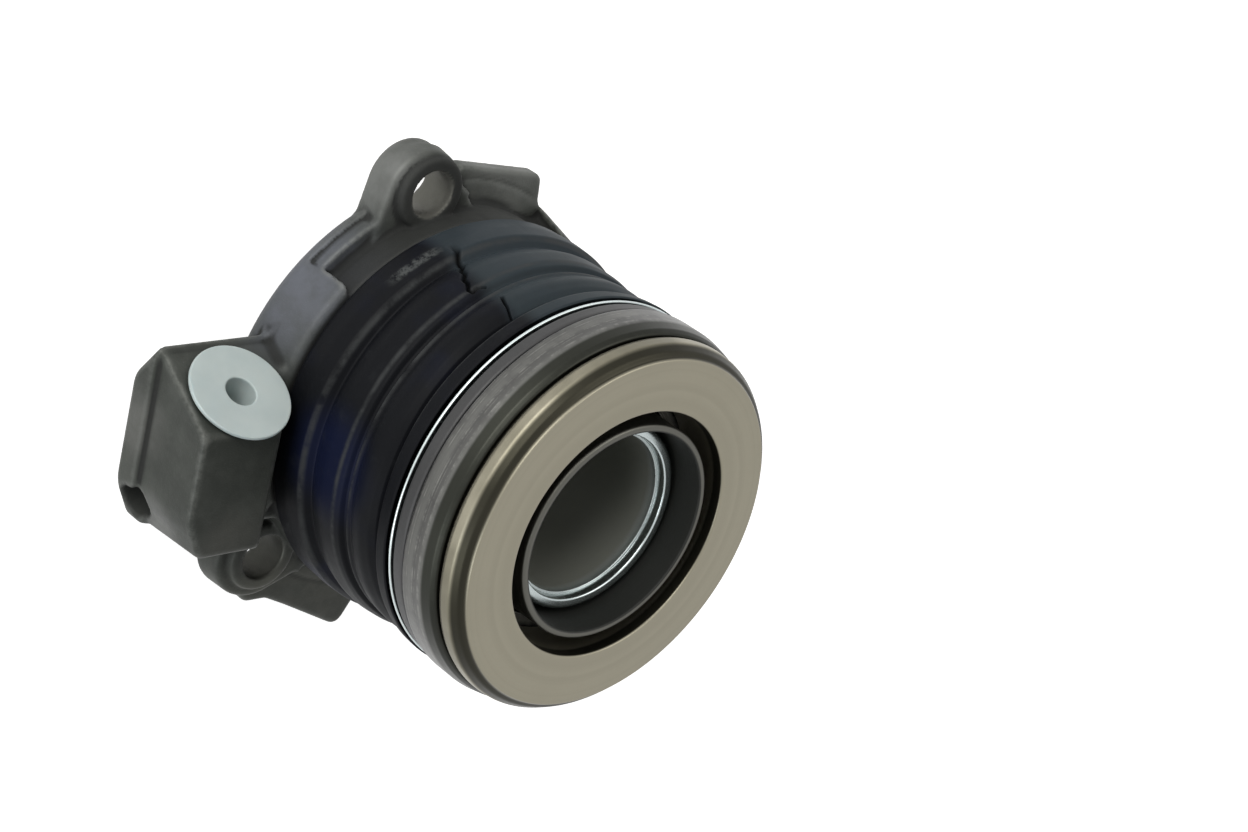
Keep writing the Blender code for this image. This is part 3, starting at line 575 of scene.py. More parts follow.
def linked(name: str, data: bpy.types.ID) -> bpy.types.Object:
    """Make an object and link it into the scene.

    Args:
        name: The object's name.
        data: Its mesh, camera or lamp.

    Returns:
        The object.
    """
    item = bpy.data.objects.new(name, data)
    bpy.context.scene.collection.objects.link(item)
    return item


def mesh_object(name: str, points: Samples, faces: Samples) -> bpy.types.Object:
    """Make a smooth-shaded mesh object.

    Args:
        name: The object's name.
        points: The vertices, one row each.
        faces: The faces, one row of four vertex numbers each.

    Returns:
        The object.
    """
    mesh = bpy.data.meshes.new(name)
    mesh.from_pydata(points.tolist(), [], faces.tolist())
    mesh.update()
    mesh.shade_smooth()
    return linked(name, mesh)


def store(item: bpy.types.Object, name: str, values: Samples) -> None:
    """Store one number at each point of a mesh.

    Args:
        item: The mesh object.
        name: The attribute's name.
        values: The numbers, in the order of the points.
    """
    layer = item.data.attributes.new(name, "FLOAT", "POINT")
    layer.data.foreach_set("value", values.ravel().astype(np.float32))


def soft_outline(corners: Sequence[Corner], steps: int = 5, support: float = 0.00012) -> list[Point]:
    """Round the corners of a closed outline, and hold its straights flat with a point beside each corner.

    Args:
        corners: Radius, height and rounding of each corner.
        steps: Segments in each rounding.
        support: How far the holding point stands from the rounding.

    Returns:
        The outline's points.
    """
    points = []
    for i, (radius, height, rounding) in enumerate(corners):
        here = Vector((radius, height))
        back = Vector(corners[i - 1][:2]) - here
        ahead = Vector(corners[(i + 1) % len(corners)][:2]) - here
        half = max(back.angle(ahead) / 2.0, 0.05)
        reach = min(rounding / math.tan(half), 0.46 * back.length, 0.46 * ahead.length)
        start, end = here + back.normalized() * reach, here + ahead.normalized() * reach
        if back.length - 2.2 * reach > 4.0 * support:
            points.append(start + back.normalized() * support)
        for k in range(steps + 1):
            t = k / steps
            points.append((1 - t) ** 2 * start + 2 * t * (1 - t) * here + t ** 2 * end)
        if ahead.length - 2.2 * reach > 4.0 * support:
            points.append(end + ahead.normalized() * support)
    return [tuple(point) for point in points]


def signed_area(outline: Samples) -> float:
    """Return a closed outline's area, positive where it runs anticlockwise."""
    x, y = outline[:, 0], outline[:, 1]
    return 0.5 * float(np.sum(x * np.roll(y, -1) - np.roll(x, -1) * y))


def lathe(name: str, outline: Sequence[Point], turns: Samples,
          shape: Warp | None = None) -> bpy.types.Object:
    """Turn a closed outline round Z.

    Args:
        name: The object's name.
        outline: Radius and height of its points.
        turns: The angles of the rows of points, in radians.
        shape: Gives new radii and heights for radius, height and angle, if the form isn't quite round.

    Returns:
        The object.
    """
    rows = np.array(outline)
    if signed_area(rows) < 0:
        rows = rows[::-1]
    radius, angle = np.meshgrid(rows[:, 0], turns, indexing="ij")
    height = np.broadcast_to(rows[:, 1:2], radius.shape)
    if shape:
        radius, height = shape(radius, height, angle)
    points = np.stack([radius * np.cos(angle), radius * np.sin(angle), height], axis=-1).reshape(-1, 3)
    count, round_count = rows.shape[0], len(turns)
    number = np.arange(count * round_count).reshape(count, round_count)
    beyond = np.roll(number, -1, axis=1)
    above = np.roll(number, -1, axis=0)
    corner = np.roll(beyond, -1, axis=0)
    faces = np.stack([number, beyond, corner, above], axis=-1).reshape(-1, 4)
    return mesh_object(name, points, faces)


def even_turns(steps: int) -> Samples:
    """Return evenly spaced angles round a full turn."""
    return np.linspace(0.0, 2.0 * math.pi, steps, endpoint=False)


def put(item: bpy.types.Object, material: bpy.types.Material, slot: Slot, body: Body,
        *nodes: str) -> bpy.types.Object:
    """Dress a piece, mount it on its body and let it stand for CAD nodes.

    Args:
        item: The piece.
        material: Its material.
        slot: Its material slot; not used.
        body: The body that it rides on.
        nodes: The CAD nodes that it stands for.

    Returns:
        The piece.
    """
    item.data.materials.clear()
    item.data.materials.append(material)
    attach(item, body.value)
    if nodes:
        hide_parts(*nodes)
    LOG.info("%s: %d points on %s", item.name, len(item.data.vertices), body.value)
    return item


# Solid forms as distance fields


def ramp(values: Samples, zero: float, one: float) -> Samples:
    """Return a straight step between 0 and 1.

    Args:
        values: The values to judge.
        zero: The value that gives 0.
        one: The value that gives 1.

    Returns:
        The step, held at 0 and 1 beyond the two.
    """
    return np.clip((values - zero) / (one - zero), 0.0, 1.0)


def smooth_max(a: Samples, b: Samples, width: float) -> Samples:
    """Return the larger value, rounded where the two are within a width of each other."""
    blend = np.maximum(width - np.abs(a - b), 0.0) / width
    return np.maximum(a, b) + blend * blend * width * 0.25


def smooth_min(a: Samples, b: Samples, width: float) -> Samples:
    """Return the smaller value, rounded where the two are within a width of each other."""
    return -smooth_max(-a, -b, width)


def outline_distance(x: Samples, y: Samples, corners: Sequence[Point]) -> Samples:
    """Return the distance to a closed outline, negative inside it.

    Args:
        x: First coordinates.
        y: Second coordinates.
        corners: The outline's corners.

    Returns:
        The distances.
    """
    nearest = np.full(np.broadcast(x, y).shape, np.inf)
    inside = np.zeros(nearest.shape, bool)
    for i, (ax, ay) in enumerate(corners):
        bx, by = corners[i - 1]
        ex, ey = bx - ax, by - ay
        t = np.clip(((x - ax) * ex + (y - ay) * ey) / (ex * ex + ey * ey), 0.0, 1.0)
        nearest = np.minimum(nearest, np.hypot(x - ax - ex * t, y - ay - ey * t))
        if by != ay:
            crossing = (ay > y) != (by > y)
            inside ^= crossing & (x < ex * (y - ay) / ey + ax)
    return np.where(inside, -nearest, nearest)


def rounded_corners(corners: Sequence[Point], radius: float) -> list[Point]:
    """Return an outline with its corners rounded and no points between them."""
    return soft_outline([(x, y, radius) for x, y in corners], 6, 1.0)


class SurfaceNet:
    """Meshes the zero surface of a distance field."""

    CORNERS = np.array([(i, j, k) for i in (0, 1) for j in (0, 1) for k in (0, 1)])
    EDGES = ((0, 4), (1, 5), (2, 6), (3, 7), (0, 2), (1, 3), (4, 6), (5, 7), (0, 1), (2, 3), (4, 5), (6, 7))

    def __init__(self, low: Sequence[float], high: Sequence[float], cell: float) -> None:
        """Set up the grid.

        Args:
            low: Lowest corner of the space.
            high: Highest corner of the space.
            cell: Size of a grid cell.
        """
        self.cell = cell
        self.low = np.array(low)
        self.counts = [int(math.ceil((b - a) / cell)) + 1 for a, b in zip(low, high)]

    def grid(self) -> list[Samples]:
        """Return the grid's coordinates, shaped so that they broadcast."""
        lines = [self.low[i] + self.cell * np.arange(self.counts[i]) for i in range(3)]
        return [lines[0][:, None, None], lines[1][None, :, None], lines[2][None, None, :]]

    def mesh(self, values: Samples) -> tuple[Samples, Samples]:
        """Mesh a sampled field.

        Args:
            values: The field on the grid.

        Returns:
            The points and the faces.
        """
        inside = values < 0.0
        across, up, deep = (size - 1 for size in inside.shape)
        count = sum(inside[i:across + i, j:up + j, k:deep + k].astype(np.int8) for i, j, k in self.CORNERS)
        mixed = (count > 0) & (count < 8)
        cells = np.argwhere(mixed)
        number = np.full(mixed.shape, -1)
        number[mixed] = np.arange(len(cells))
        corner_values = np.stack([values[tuple((cells + corner).T)] for corner in self.CORNERS], axis=1)
        total = np.zeros((len(cells), 3))
        hits = np.zeros(len(cells))
        for a, b in self.EDGES:
            va, vb = corner_values[:, a], corner_values[:, b]
            crossing = (va < 0) != (vb < 0)
            t = np.where(crossing, va / np.where(crossing, va - vb, 1.0), 0.0)
            spot = self.CORNERS[a] + t[:, None] * (self.CORNERS[b] - self.CORNERS[a])
            total += np.where(crossing[:, None], spot, 0.0)
            hits += crossing
        points = self.low + self.cell * (cells + total / hits[:, None])
        return points, self._faces(inside, number)

    @staticmethod
    def _faces(inside: Samples, number: Samples) -> Samples:
        """Join the cells' points round each grid edge that crosses the surface.

        Args:
            inside: Which grid points are inside.
            number: The cells' point numbers.

        Returns:
            The faces.
        """
        faces = []
        for axis in range(3):
            one, two = (axis + 1) % 3, (axis + 2) % 3
            here = np.moveaxis(inside, (axis, one, two), (0, 1, 2))
            cell = np.moveaxis(number, (axis, one, two), (0, 1, 2))
            crossing = here[:-1, 1:-1, 1:-1] != here[1:, 1:-1, 1:-1]
            i, j, k = np.nonzero(crossing)
            ring = np.stack([cell[i, j, k], cell[i, j + 1, k], cell[i, j + 1, k + 1],
                             cell[i, j, k + 1]], axis=1)
            out = here[i, j + 1, k + 1]
            faces.append(np.where(out[:, None], ring, ring[:, ::-1]))
        return np.concatenate(faces)


def slope(solid: Solid, points: Samples, step: float) -> Samples:
    """Return the gradient of a field at points.

    Args:
        solid: The field.
        points: Where to take it.
        step: Half the distance between samples.

    Returns:
        The gradients, one row each.
    """
    rows = []
    for axis in range(3):
        shift = np.zeros(3)
        shift[axis] = step
        ahead, behind = points + shift, points - shift
        rows.append((solid(*ahead.T) - solid(*behind.T)) / (2.0 * step))
    return np.stack(rows, axis=1)


def settle(solid: Solid, points: Samples, step: float, rounds: int = 3) -> Samples:
    """Move points onto the surface of a field.

    Args:
        solid: The field.
        points: Points near the surface.
        step: Sampling step for the gradient.
        rounds: Newton steps.

    Returns:
        The moved points.
    """
    for _ in range(rounds):
        lean = slope(solid, points, step)
        size = np.maximum((lean * lean).sum(axis=1), 0.2)
        points = points - lean * (solid(*points.T) / size)[:, None]
    return points


def neighbours_mean(values: Samples, faces: Samples) -> Samples:
    """Return the mean of each point's neighbours.

    Args:
        values: One row or number a point.
        faces: The faces that join the points.

    Returns:
        The means, shaped as the values.
    """
    total = np.zeros_like(values)
    count = np.zeros(len(values))
    for a in range(4):
        for b in ((a + 1) % 4, (a + 3) % 4):
            np.add.at(total, faces[:, a], values[faces[:, b]])
            np.add.at(count, faces[:, a], 1.0)
    return (total.T / count).T


# Sub-assemblies


@dataclass
class Casting:
    """The die-cast housing outside the machined cylinder: drum, ears, tabs, ledges and port block."""

    cell: float = 0.00038
    split_r: float = 0.02705
    rim_r: float = 0.0322
    rim_chamfer: float = 0.0014
    drum_top_r: float = 0.0306
    drum_top_z: float = 0.0100
    drum_straight_z: float = 0.0020
    neck_r: float = 0.0290
    plate: float = 0.0028
    ledge_z: float = 0.0050
    shelf_inset: float = 0.0004
    bolt_circle: float = 0.0330
    bolt_r: float = 0.0034
    ear_angles: tuple[float, ...] = (103.0, 223.0, 343.0)
    ear_tip_r: tuple[float, ...] = (0.00637, 0.00737, 0.00737)
    ear_turn: tuple[float, ...] = (1.3, 0.0, 0.0)
    ear_heel_r: float = 0.0130
    ear_heel_at: float = 0.0170
    ear_draft: float = 0.0003
    ear_z: tuple[float, float] = (0.0002, 0.0054)
    boss_r: tuple[float, float] = (0.0060, 0.0053)
    boss_z: float = 0.0066
    high_ledges: tuple[Point, ...] = ((88.0, 137.0), (203.0, 240.0), (323.0, 363.0))
    low_ledges: tuple[Point, ...] = ((57.0, 89.0), (239.0, 268.0))
    upper_tab: tuple[Point, ...] = ((0.0171, 0.0255), (0.0163, 0.0322), (0.0003, 0.0345), (-0.0040, 0.0310))
    lower_tab: tuple[Point, ...] = ((-0.0285, -0.0255), (-0.0228, -0.0324), (-0.0189, -0.0325),
                                    (-0.0150, -0.0344), (-0.0042, -0.0401), (-0.0014, -0.0347),
                                    (-0.0014, -0.0290))
    tab_corner: float = 0.0020
    block_out_x: float = -0.0464
    block_in_x: float = -0.0240
    block_wall_x: float = -0.0335
    block_low_y: float = -0.0141
    block_low_draft: float = 0.0009
    block_low_step: float = 0.0002
    block_z: tuple[float, float, float] = (0.0002, 0.0042, 0.0164)
    block_rear_high_y: float = 0.0066
    block_step: float = 0.0009
    block_high_step: float = 0.0004
    block_corner: Point = (0.0027, 0.0056)
    port_tilt: float = 30.0
    port_x: float = -0.0382
    port_face_y: float = 0.0045
    port_along: float = 0.0059
    port_r: float = 0.0034
    port_depth: float = 0.0115
    drilling_r: float = 0.0016
    mouth_r: float = 0.0026
    mouth_depth: float = 0.0060
    drilling_z: float = 0.0036
    drilling_along: float = 0.0022
    port_passage: float = 0.0157
    drilling_depth: float = 0.0200
    crown: float = 0.0008
    waver: float = 0.0006
    hole_edge: float = 0.0004
    ledge_edge: float = 0.0005
    crisp_edge: float = 0.0006
    thin_edge: float = 0.0007
    edge: float = 0.0008
    foot_edge: float = 0.0009
    fillet: float = 0.0010
    top_edge: float = 0.0013
    probe: float = 0.00006

    def __post_init__(self) -> None:
        """Work out the port's and the drilling's frames."""
        tilt = math.radians(self.port_tilt)
        self.port_out = np.array((0.0, math.cos(tilt), math.sin(tilt)))
        self.port_edge = np.array((self.port_x, self.port_face_y, self.block_z[2]))
        down = np.array((0.0, self.port_out[2], -self.port_out[1]))
        self.port_centre = self.port_edge + down * self.port_along
        self.block_high_y = self.port_face_y + (self.block_z[2] - self.block_z[1]) * math.tan(tilt)
        edge = np.array((self.block_corner[0], -self.block_corner[1], 0.0))
        edge /= np.linalg.norm(edge)
        self.drill_out = np.array((edge[1], -edge[0], 0.0))
        start = np.array((self.block_out_x, self.block_low_y - self.block_low_draft + self.block_corner[1],
                          self.drilling_z))
        self.drill_start = start + edge * self.drilling_along

    def port_frame(self) -> Matrix:
        """Return the frame on the port's axis whose Z points out of the port."""
        turn = Vector((0, 0, 1)).rotation_difference(Vector(self.port_out)).to_matrix().to_4x4()
        return Matrix.Translation(Vector(self.port_centre)) @ turn

    def _sector(self, x: Samples, y: Samples, start: float, end: float) -> Samples:
        """Return the distance into a sector between two angles.

        Args:
            x: First coordinates.
            y: Second coordinates.
            start: Where the sector starts, in degrees.
            end: Where it ends, in degrees.

        Returns:
            The distances, negative inside.
        """
        first, last = math.radians(start), math.radians(end)
        after = math.sin(first) * x - math.cos(first) * y
        before = -math.sin(last) * x + math.cos(last) * y
        return np.maximum(after, before)

    def _drum(self, x: Samples, y: Samples, z: Samples) -> Samples:
        """Return the drum with its ledges.

        Args:
            x: First coordinates.
            y: Second coordinates.
            z: Heights.

        Returns:
            The distances, negative inside.
        """
        radius = np.hypot(x, y)
        lean = (self.rim_r - self.drum_top_r) / (self.drum_top_z - self.crown - self.drum_straight_z)
        flank = ((radius - self.rim_r) + (z - self.drum_straight_z) * lean) / math.hypot(1.0, lean)
        body = smooth_max(np.maximum(radius - self.rim_r, flank), z - self.drum_top_z, self.top_edge)
        chamfer = (radius - z - self.rim_r + self.rim_chamfer) * math.sqrt(0.5)
        body = smooth_max(smooth_max(body, chamfer, self.edge), -z, self.crisp_edge)
        levels = [(self.ledge_z, *pair) for pair in self.high_ledges]
        levels += [(self.plate, *pair) for pair in self.low_ledges]
        for level, start, end in levels:
            wave = self.waver * np.sin((radius - self.neck_r) * 1900.0 + z * 500.0)
            cut = smooth_max(self._sector(x, y, start, end) + wave, level - z, self.thin_edge)
            cut = smooth_max(cut, self.neck_r - radius, self.fillet)
            body = smooth_max(body, -cut, self.ledge_edge)
            if level > self.plate:
                shelf = np.maximum(self._sector(x, y, start, end), self.plate - z)
                shelf = np.maximum(shelf, self.rim_r - self.shelf_inset - radius)
                body = smooth_max(body, -shelf, self.crisp_edge)
        return body

    def _tab(self, x: Samples, y: Samples, z: Samples, corners: Sequence[Point]) -> Samples:
        """Return a thin tab of the flange plate.

        Args:
            x: First coordinates.
            y: Second coordinates.
            z: Heights.
            corners: The tab's corners, seen from above.

        Returns:
            The distances, negative inside.
        """
        middle = self.plate / 2.0
        side = outline_distance(x, y, rounded_corners(corners, self.tab_corner))
        return smooth_max(side, np.abs(z - middle) - middle, self.thin_edge)

    def _ear(self, x: Samples, y: Samples, z: Samples, number: int) -> Samples:
        """Return a bolt ear with its boss.

        Args:
            x: First coordinates.
            y: Second coordinates.
            z: Heights.
            number: Which ear.

        Returns:
            The distances, negative inside.
        """
        turn = math.radians(self.ear_angles[number] + self.ear_turn[number])
        tip_r = self.ear_tip_r[number]
        along = x * math.cos(turn) + y * math.sin(turn) - self.ear_heel_at
        across = np.abs(-x * math.sin(turn) + y * math.cos(turn))
        length = self.bolt_circle - self.ear_heel_at
        lean = (self.ear_heel_r - tip_r) / length
        rise = math.sqrt(1.0 - lean * lean)
        part = -lean * across + rise * along
        side = np.where(part < 0.0, np.hypot(across, along) - self.ear_heel_r,
                        np.where(part > rise * length, np.hypot(across, along - length) - tip_r,
                                 across * rise + along * lean - self.ear_heel_r))
        low, high = self.ear_z
        side = side + self.ear_draft * (z - low) / (high - low)
        foot = smooth_max(side, np.abs(z - (low + high) / 2.0) - (high - low) / 2.0, self.foot_edge)
        foot_r, top_r = self.boss_r
        taper = foot_r - (foot_r - top_r) * (z - self.plate) / (self.boss_z - self.plate)
        hole = math.radians(self.ear_angles[number])
        reach = np.hypot(x - self.bolt_circle * math.cos(hole), y - self.bolt_circle * math.sin(hole))
        boss = smooth_max(reach - taper, z - self.boss_z, self.crisp_edge)
        boss = np.maximum(boss, self.plate - z)
        return smooth_min(foot, boss, self.crisp_edge)

    def _block(self, x: Samples, y: Samples, z: Samples) -> Samples:
        """Return the port block with its stepped foot.

        Args:
            x: First coordinates.
            y: Second coordinates.
            z: Heights.

        Returns:
            The distances, negative inside.
        """
        rear, step, front = self.block_z
        edge = self.edge
        fall = self.block_low_draft * (front - z) / (front - step)
        low_y = self.block_low_y - fall
        cut_x, cut_y = self.block_corner
        size = math.hypot(cut_x, cut_y)

        def sides(out_x: Samples, low: Samples, width: float) -> Samples:
            """Return the outer, lower and cut faces, joined with round edges."""
            corner = -((x - out_x) * cut_y + (y - low - cut_y) * cut_x) / size
            return smooth_max(smooth_max(out_x - x, low - y, width), corner, width)

        upper = smooth_max(sides(self.block_out_x + 0.0 * z, low_y, edge), z - front, edge)
        out = self.port_out
        face = (y - self.port_edge[1]) * out[1] + (z - self.port_edge[2]) * out[2]
        upper = smooth_max(upper, face, edge)
        wall = np.maximum(self.block_wall_x - x, self.drum_top_z - self.crown - z)
        upper = smooth_max(upper, -wall, self.fillet)
        upper = np.maximum(np.maximum(upper, x - self.block_in_x), step - 0.0005 - z)
        foot_low = self.block_low_y - self.block_low_draft - self.block_low_step
        foot = sides(self.block_out_x - self.block_step, foot_low + 0.0 * z, edge)
        lean = (self.block_high_y + self.block_high_step - self.block_rear_high_y) / (step - rear)
        top = (y - self.block_rear_high_y - lean * (z - rear)) / math.hypot(1.0, lean)
        foot = smooth_max(smooth_max(foot, top, self.fillet), z - step, self.foot_edge)
        foot = np.maximum(smooth_max(foot, rear - z, edge), x - self.block_in_x)
        return smooth_min(upper, foot, self.crisp_edge)

    def _bolt_holes(self, x: Samples, y: Samples, z: Samples) -> Samples:
        """Return the three bolt holes.

        Args:
            x: First coordinates.
            y: Second coordinates.
            z: Heights.

        Returns:
            The distances, negative inside.
        """
        best = np.full(np.broadcast(x, y, z).shape, np.inf)
        for angle in self.ear_angles:
            turn = math.radians(angle)
            reach = np.hypot(x - self.bolt_circle * math.cos(turn), y - self.bolt_circle * math.sin(turn))
            best = np.minimum(best, reach - self.bolt_r)
        return best

    def _holes(self, x: Samples, y: Samples, z: Samples) -> Samples:
        """Return the bolt holes, the port and the cross drilling.

        Args:
            x: First coordinates.
            y: Second coordinates.
            z: Heights.

        Returns:
            The distances, negative inside.
        """
        best = self._bolt_holes(x, y, z)
        bores = ((self.port_centre, self.port_out, self.port_r, self.port_depth),
                 (self.port_centre, self.port_out, self.drilling_r, self.port_passage),
                 (self.drill_start, self.drill_out, self.mouth_r, self.mouth_depth),
                 (self.drill_start, self.drill_out, self.drilling_r, self.drilling_depth))
        for start, out, radius, depth in bores:
            best = np.minimum(best, self._bore(x, y, z, start, out, radius, depth))
        return best

    @staticmethod
    def _bore(x: Samples, y: Samples, z: Samples, start: Samples, out: Samples, radius: float,
              depth: float) -> Samples:
        """Return a round hole that runs in from a face.

        Args:
            x: First coordinates.
            y: Second coordinates.
            z: Heights.
            start: Where the hole's axis meets the face.
            out: The direction out of the hole.
            radius: The hole's radius.
            depth: How far it runs in.

        Returns:
            The distances, negative inside.
        """
        px, py, pz = x - start[0], y - start[1], z - start[2]
        along = px * out[0] + py * out[1] + pz * out[2]
        square = px * px + py * py + pz * pz - along * along
        return np.maximum(np.sqrt(np.maximum(square, 0.0)) - radius, -(along + depth))

    def solid(self, x: Samples, y: Samples, z: Samples) -> Samples:
        """Return the whole casting.

        Args:
            x: First coordinates.
            y: Second coordinates.
            z: Heights.

        Returns:
            The distances, negative inside.
        """
        body = self._drum(x, y, z)
        for corners in (self.upper_tab, self.lower_tab):
            body = smooth_min(body, self._tab(x, y, z, corners), self.edge)
        for number in range(len(self.ear_angles)):
            body = smooth_min(body, self._ear(x, y, z, number), self.crisp_edge)
        body = smooth_min(body, self._block(x, y, z), self.fillet)
        body = smooth_max(body, -self._holes(x, y, z), self.hole_edge)
        return np.maximum(body, self.split_r - np.hypot(x, y))

    def build(self) -> bpy.types.Object:
        """Mesh the casting.

        Returns:
            The casting.
        """
        low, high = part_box("housing")
        margin = 3.0 * self.cell
        net = SurfaceNet((low.x - margin, low.y - margin, -margin),
                         (high.x + margin, high.y + margin, self.block_z[2] + margin), self.cell)
        points, faces = net.mesh(self.solid(*net.grid()))
        points = settle(self.solid, self._relaxed(points, faces), self.probe)
        item = mesh_object("housing_casting", points, faces)
        self._mark(item, points, faces)
        return item

    def _relaxed(self, points: Samples, faces: Samples) -> Samples:
        """Even out the spacing of the points.

        Args:
            points: The casting's points.
            faces: Its faces.

        Returns:
            The moved points.
        """
        for _ in range(2):
            even = 0.5 * points + 0.5 * neighbours_mean(points, faces)
            points = settle(self.solid, even, self.probe, 1)
        return points

    def _bend(self, points: Samples, faces: Samples) -> Samples:
        """Measure how sharply the surface bends.

        Args:
            points: The casting's points.
            faces: Its faces.

        Returns:
            The bend at each point, positive on edges and negative in corners.
        """
        step = 0.0004
        total = -6.0 * self.solid(*points.T)
        for axis in range(3):
            for sign in (-1.0, 1.0):
                moved = points.copy()
                moved[:, axis] += sign * step
                total += self.solid(*moved.T)
        bend = total / step ** 2
        for _ in range(3):
            bend = 0.5 * bend + 0.5 * neighbours_mean(bend, faces)
        return bend

    def _mark(self, item: bpy.types.Object, points: Samples, faces: Samples) -> None:
        """Store where the casting is worn, where shade is painted in and where it is machined.

        Args:
            item: The casting.
            points: Its points.
            faces: Its faces.
        """
        bend = self._bend(points, faces)
        across, up, height = points.T
        radius = np.hypot(across, up)
        upper = up > 0.0
        bolts = self._bolt_holes(*points.T)
        from_bolts = np.abs(bolts)
        from_holes = np.abs(self._holes(*points.T))
        worn = ramp(bend, 420.0, 1520.0)
        # Painted shade: the wall round the boot's neck, darkened as the boot's shadow.
        boot_neck_shade = ramp(radius, self.neck_r + 0.0008, self.neck_r + 0.0003) * ramp(height, 0.003, 0.004)
        # Painted shade: darker boss faces on the upper ears.
        boss_face_shade = ramp(bolts, 0.0026, 0.0022) * ramp(height, 0.0052, 0.0057) * upper
        # Painted shade in concave corners, on the hole walls, round the neck and on the boss faces; none
        # right at the bolt holes.
        painted_shade = np.maximum(ramp(bend, -110.0, -610.0), 0.9 * boot_neck_shade)
        painted_shade = np.maximum(painted_shade, 0.7 * ramp(from_holes, 0.0004, 0.0002))
        painted_shade = np.maximum(np.where(from_bolts < 0.0005, 0.0, painted_shade), 0.9 * boss_face_shade)
        machined = ramp(from_bolts, 0.00022, 0.00010) * np.where(upper, 1.0, 0.4)
        machined = np.maximum(machined, ramp(height, 0.00015, 0.00005))
        lower_ear = (up < -0.015) & (across < 0.0) & (from_bolts < 0.0040)
        plain = np.where(lower_ear, 0.35, 1.0)
        store(item, "worn", worn * plain)
        store(item, "painted_shade", painted_shade * plain)
        store(item, "machined", machined)


@dataclass
class Housing:
    """The housing: the casting and its machined cylinder."""

    casting: Casting = field(default_factory=Casting)
    spigot_r: float = 0.0223
    spigot_depth: float = 0.0075
    floor_z: float = -0.0030
    cylinder_r: float = 0.0185
    cylinder_wall: float = 0.0025
    cylinder_top_z: float = 0.0200
    register_r: float = 0.0269
    register_wall: float = 0.0013
    register_height: float = 0.0024
    tube_hole_r: float = 0.0137
    tube_foot_r: float = 0.0170
    foot_pocket: float = 0.0015
    groove: tuple[float, float, float] = (-0.00460, -0.00240, 0.02045)
    seal_groove: tuple[float, float, float] = (-0.00525, -0.00375, 0.0152)

    def _cylinder_outline(self) -> list[Point]:
        """Lay out the section of the machined cylinder and spigot.

        Returns:
            The outline's points.
        """
        rear = -self.spigot_depth
        out_r = self.cylinder_r + self.cylinder_wall
        top = self.casting.drum_top_z
        groove_low, groove_high, groove_r = self.groove
        seal_low, seal_high, seal_r = self.seal_groove
        split = self.casting.split_r + 0.0001
        pocket = rear + self.foot_pocket
        under = -0.00001
        register_in = self.register_r - self.register_wall
        register_top = top + self.register_height
        return soft_outline([
            (self.tube_hole_r, pocket, 0.0001), (self.tube_foot_r, pocket, 0.0001),
            (self.tube_foot_r, rear, 0.0002), (self.spigot_r, rear, 0.0006),
            (self.spigot_r, groove_low, 0.0001), (groove_r, groove_low, 0.0001),
            (groove_r, groove_high, 0.0001), (self.spigot_r, groove_high, 0.0001),
            (self.spigot_r, under, 0.0003), (split, under, 0.00005),
            (split, top, 0.00005), (self.register_r, top, 0.0001),
            (self.register_r, register_top, 0.0003), (register_in, register_top, 0.0003),
            (register_in, top, 0.0002), (out_r, top, 0.0004),
            (out_r, self.cylinder_top_z, 0.0006), (self.cylinder_r, self.cylinder_top_z, 0.0006),
            (self.cylinder_r, self.floor_z, 0.0002), (self.tube_hole_r, self.floor_z, 0.0001),
            (self.tube_hole_r, seal_high, 0.0001), (seal_r, seal_high, 0.0001),
            (seal_r, seal_low, 0.0001), (self.tube_hole_r, seal_low, 0.0001)], 3)

    def build(self, materials: dict[Slot, bpy.types.Material]) -> None:
        """Build the housing's pieces.

        Args:
            materials: The materials by slot.
        """
        put(self.casting.build(), materials[Slot.CAST], Slot.CAST, Body.HOUSING, "housing")
        bore = lathe("housing_cylinder", self._cylinder_outline(), even_turns(144))
        store(bore, "machined", np.ones(len(bore.data.vertices)))
        put(bore, materials[Slot.CAST], Slot.CAST, Body.HOUSING, "housing")


@dataclass
class GuideTube:
    """The plated tube on the gearbox shaft, with a rolled lip and a pressed foot."""

    bore_r: float = 0.0122
    wall: float = 0.0012
    top_z: float = 0.0439
    lip_proud: float = 0.0009
    lip_height: float = 0.0022
    foot_r: float = 0.0167
    foot_z: tuple[float, float] = (-0.0074, -0.0063)

    def build(self, materials: dict[Slot, bpy.types.Material]) -> None:
        """Build the tube.

        Args:
            materials: The materials by slot.
        """
        tube_r = self.bore_r + self.wall
        lip_r = tube_r + self.lip_proud
        lip_low = self.top_z - self.lip_height
        step_z = self.top_z - 0.0013
        low, high = self.foot_z
        outline = soft_outline([
            (self.bore_r, step_z, 0.0002), (self.bore_r + 0.0004, step_z, 0.0001),
            (self.bore_r + 0.0005, self.top_z, 0.0003), (lip_r, self.top_z, 0.0010),
            (lip_r, lip_low, 0.0009), (tube_r, lip_low, 0.0003),
            (tube_r, high, 0.0004), (self.foot_r, high, 0.0003), (self.foot_r, low, 0.0002),
            (self.bore_r, low, 0.0008)], 8)
        put(lathe("guide_tube_turned", outline, even_turns(192)), materials[Slot.ZINC], Slot.ZINC,
            Body.HOUSING, "guide_tube")


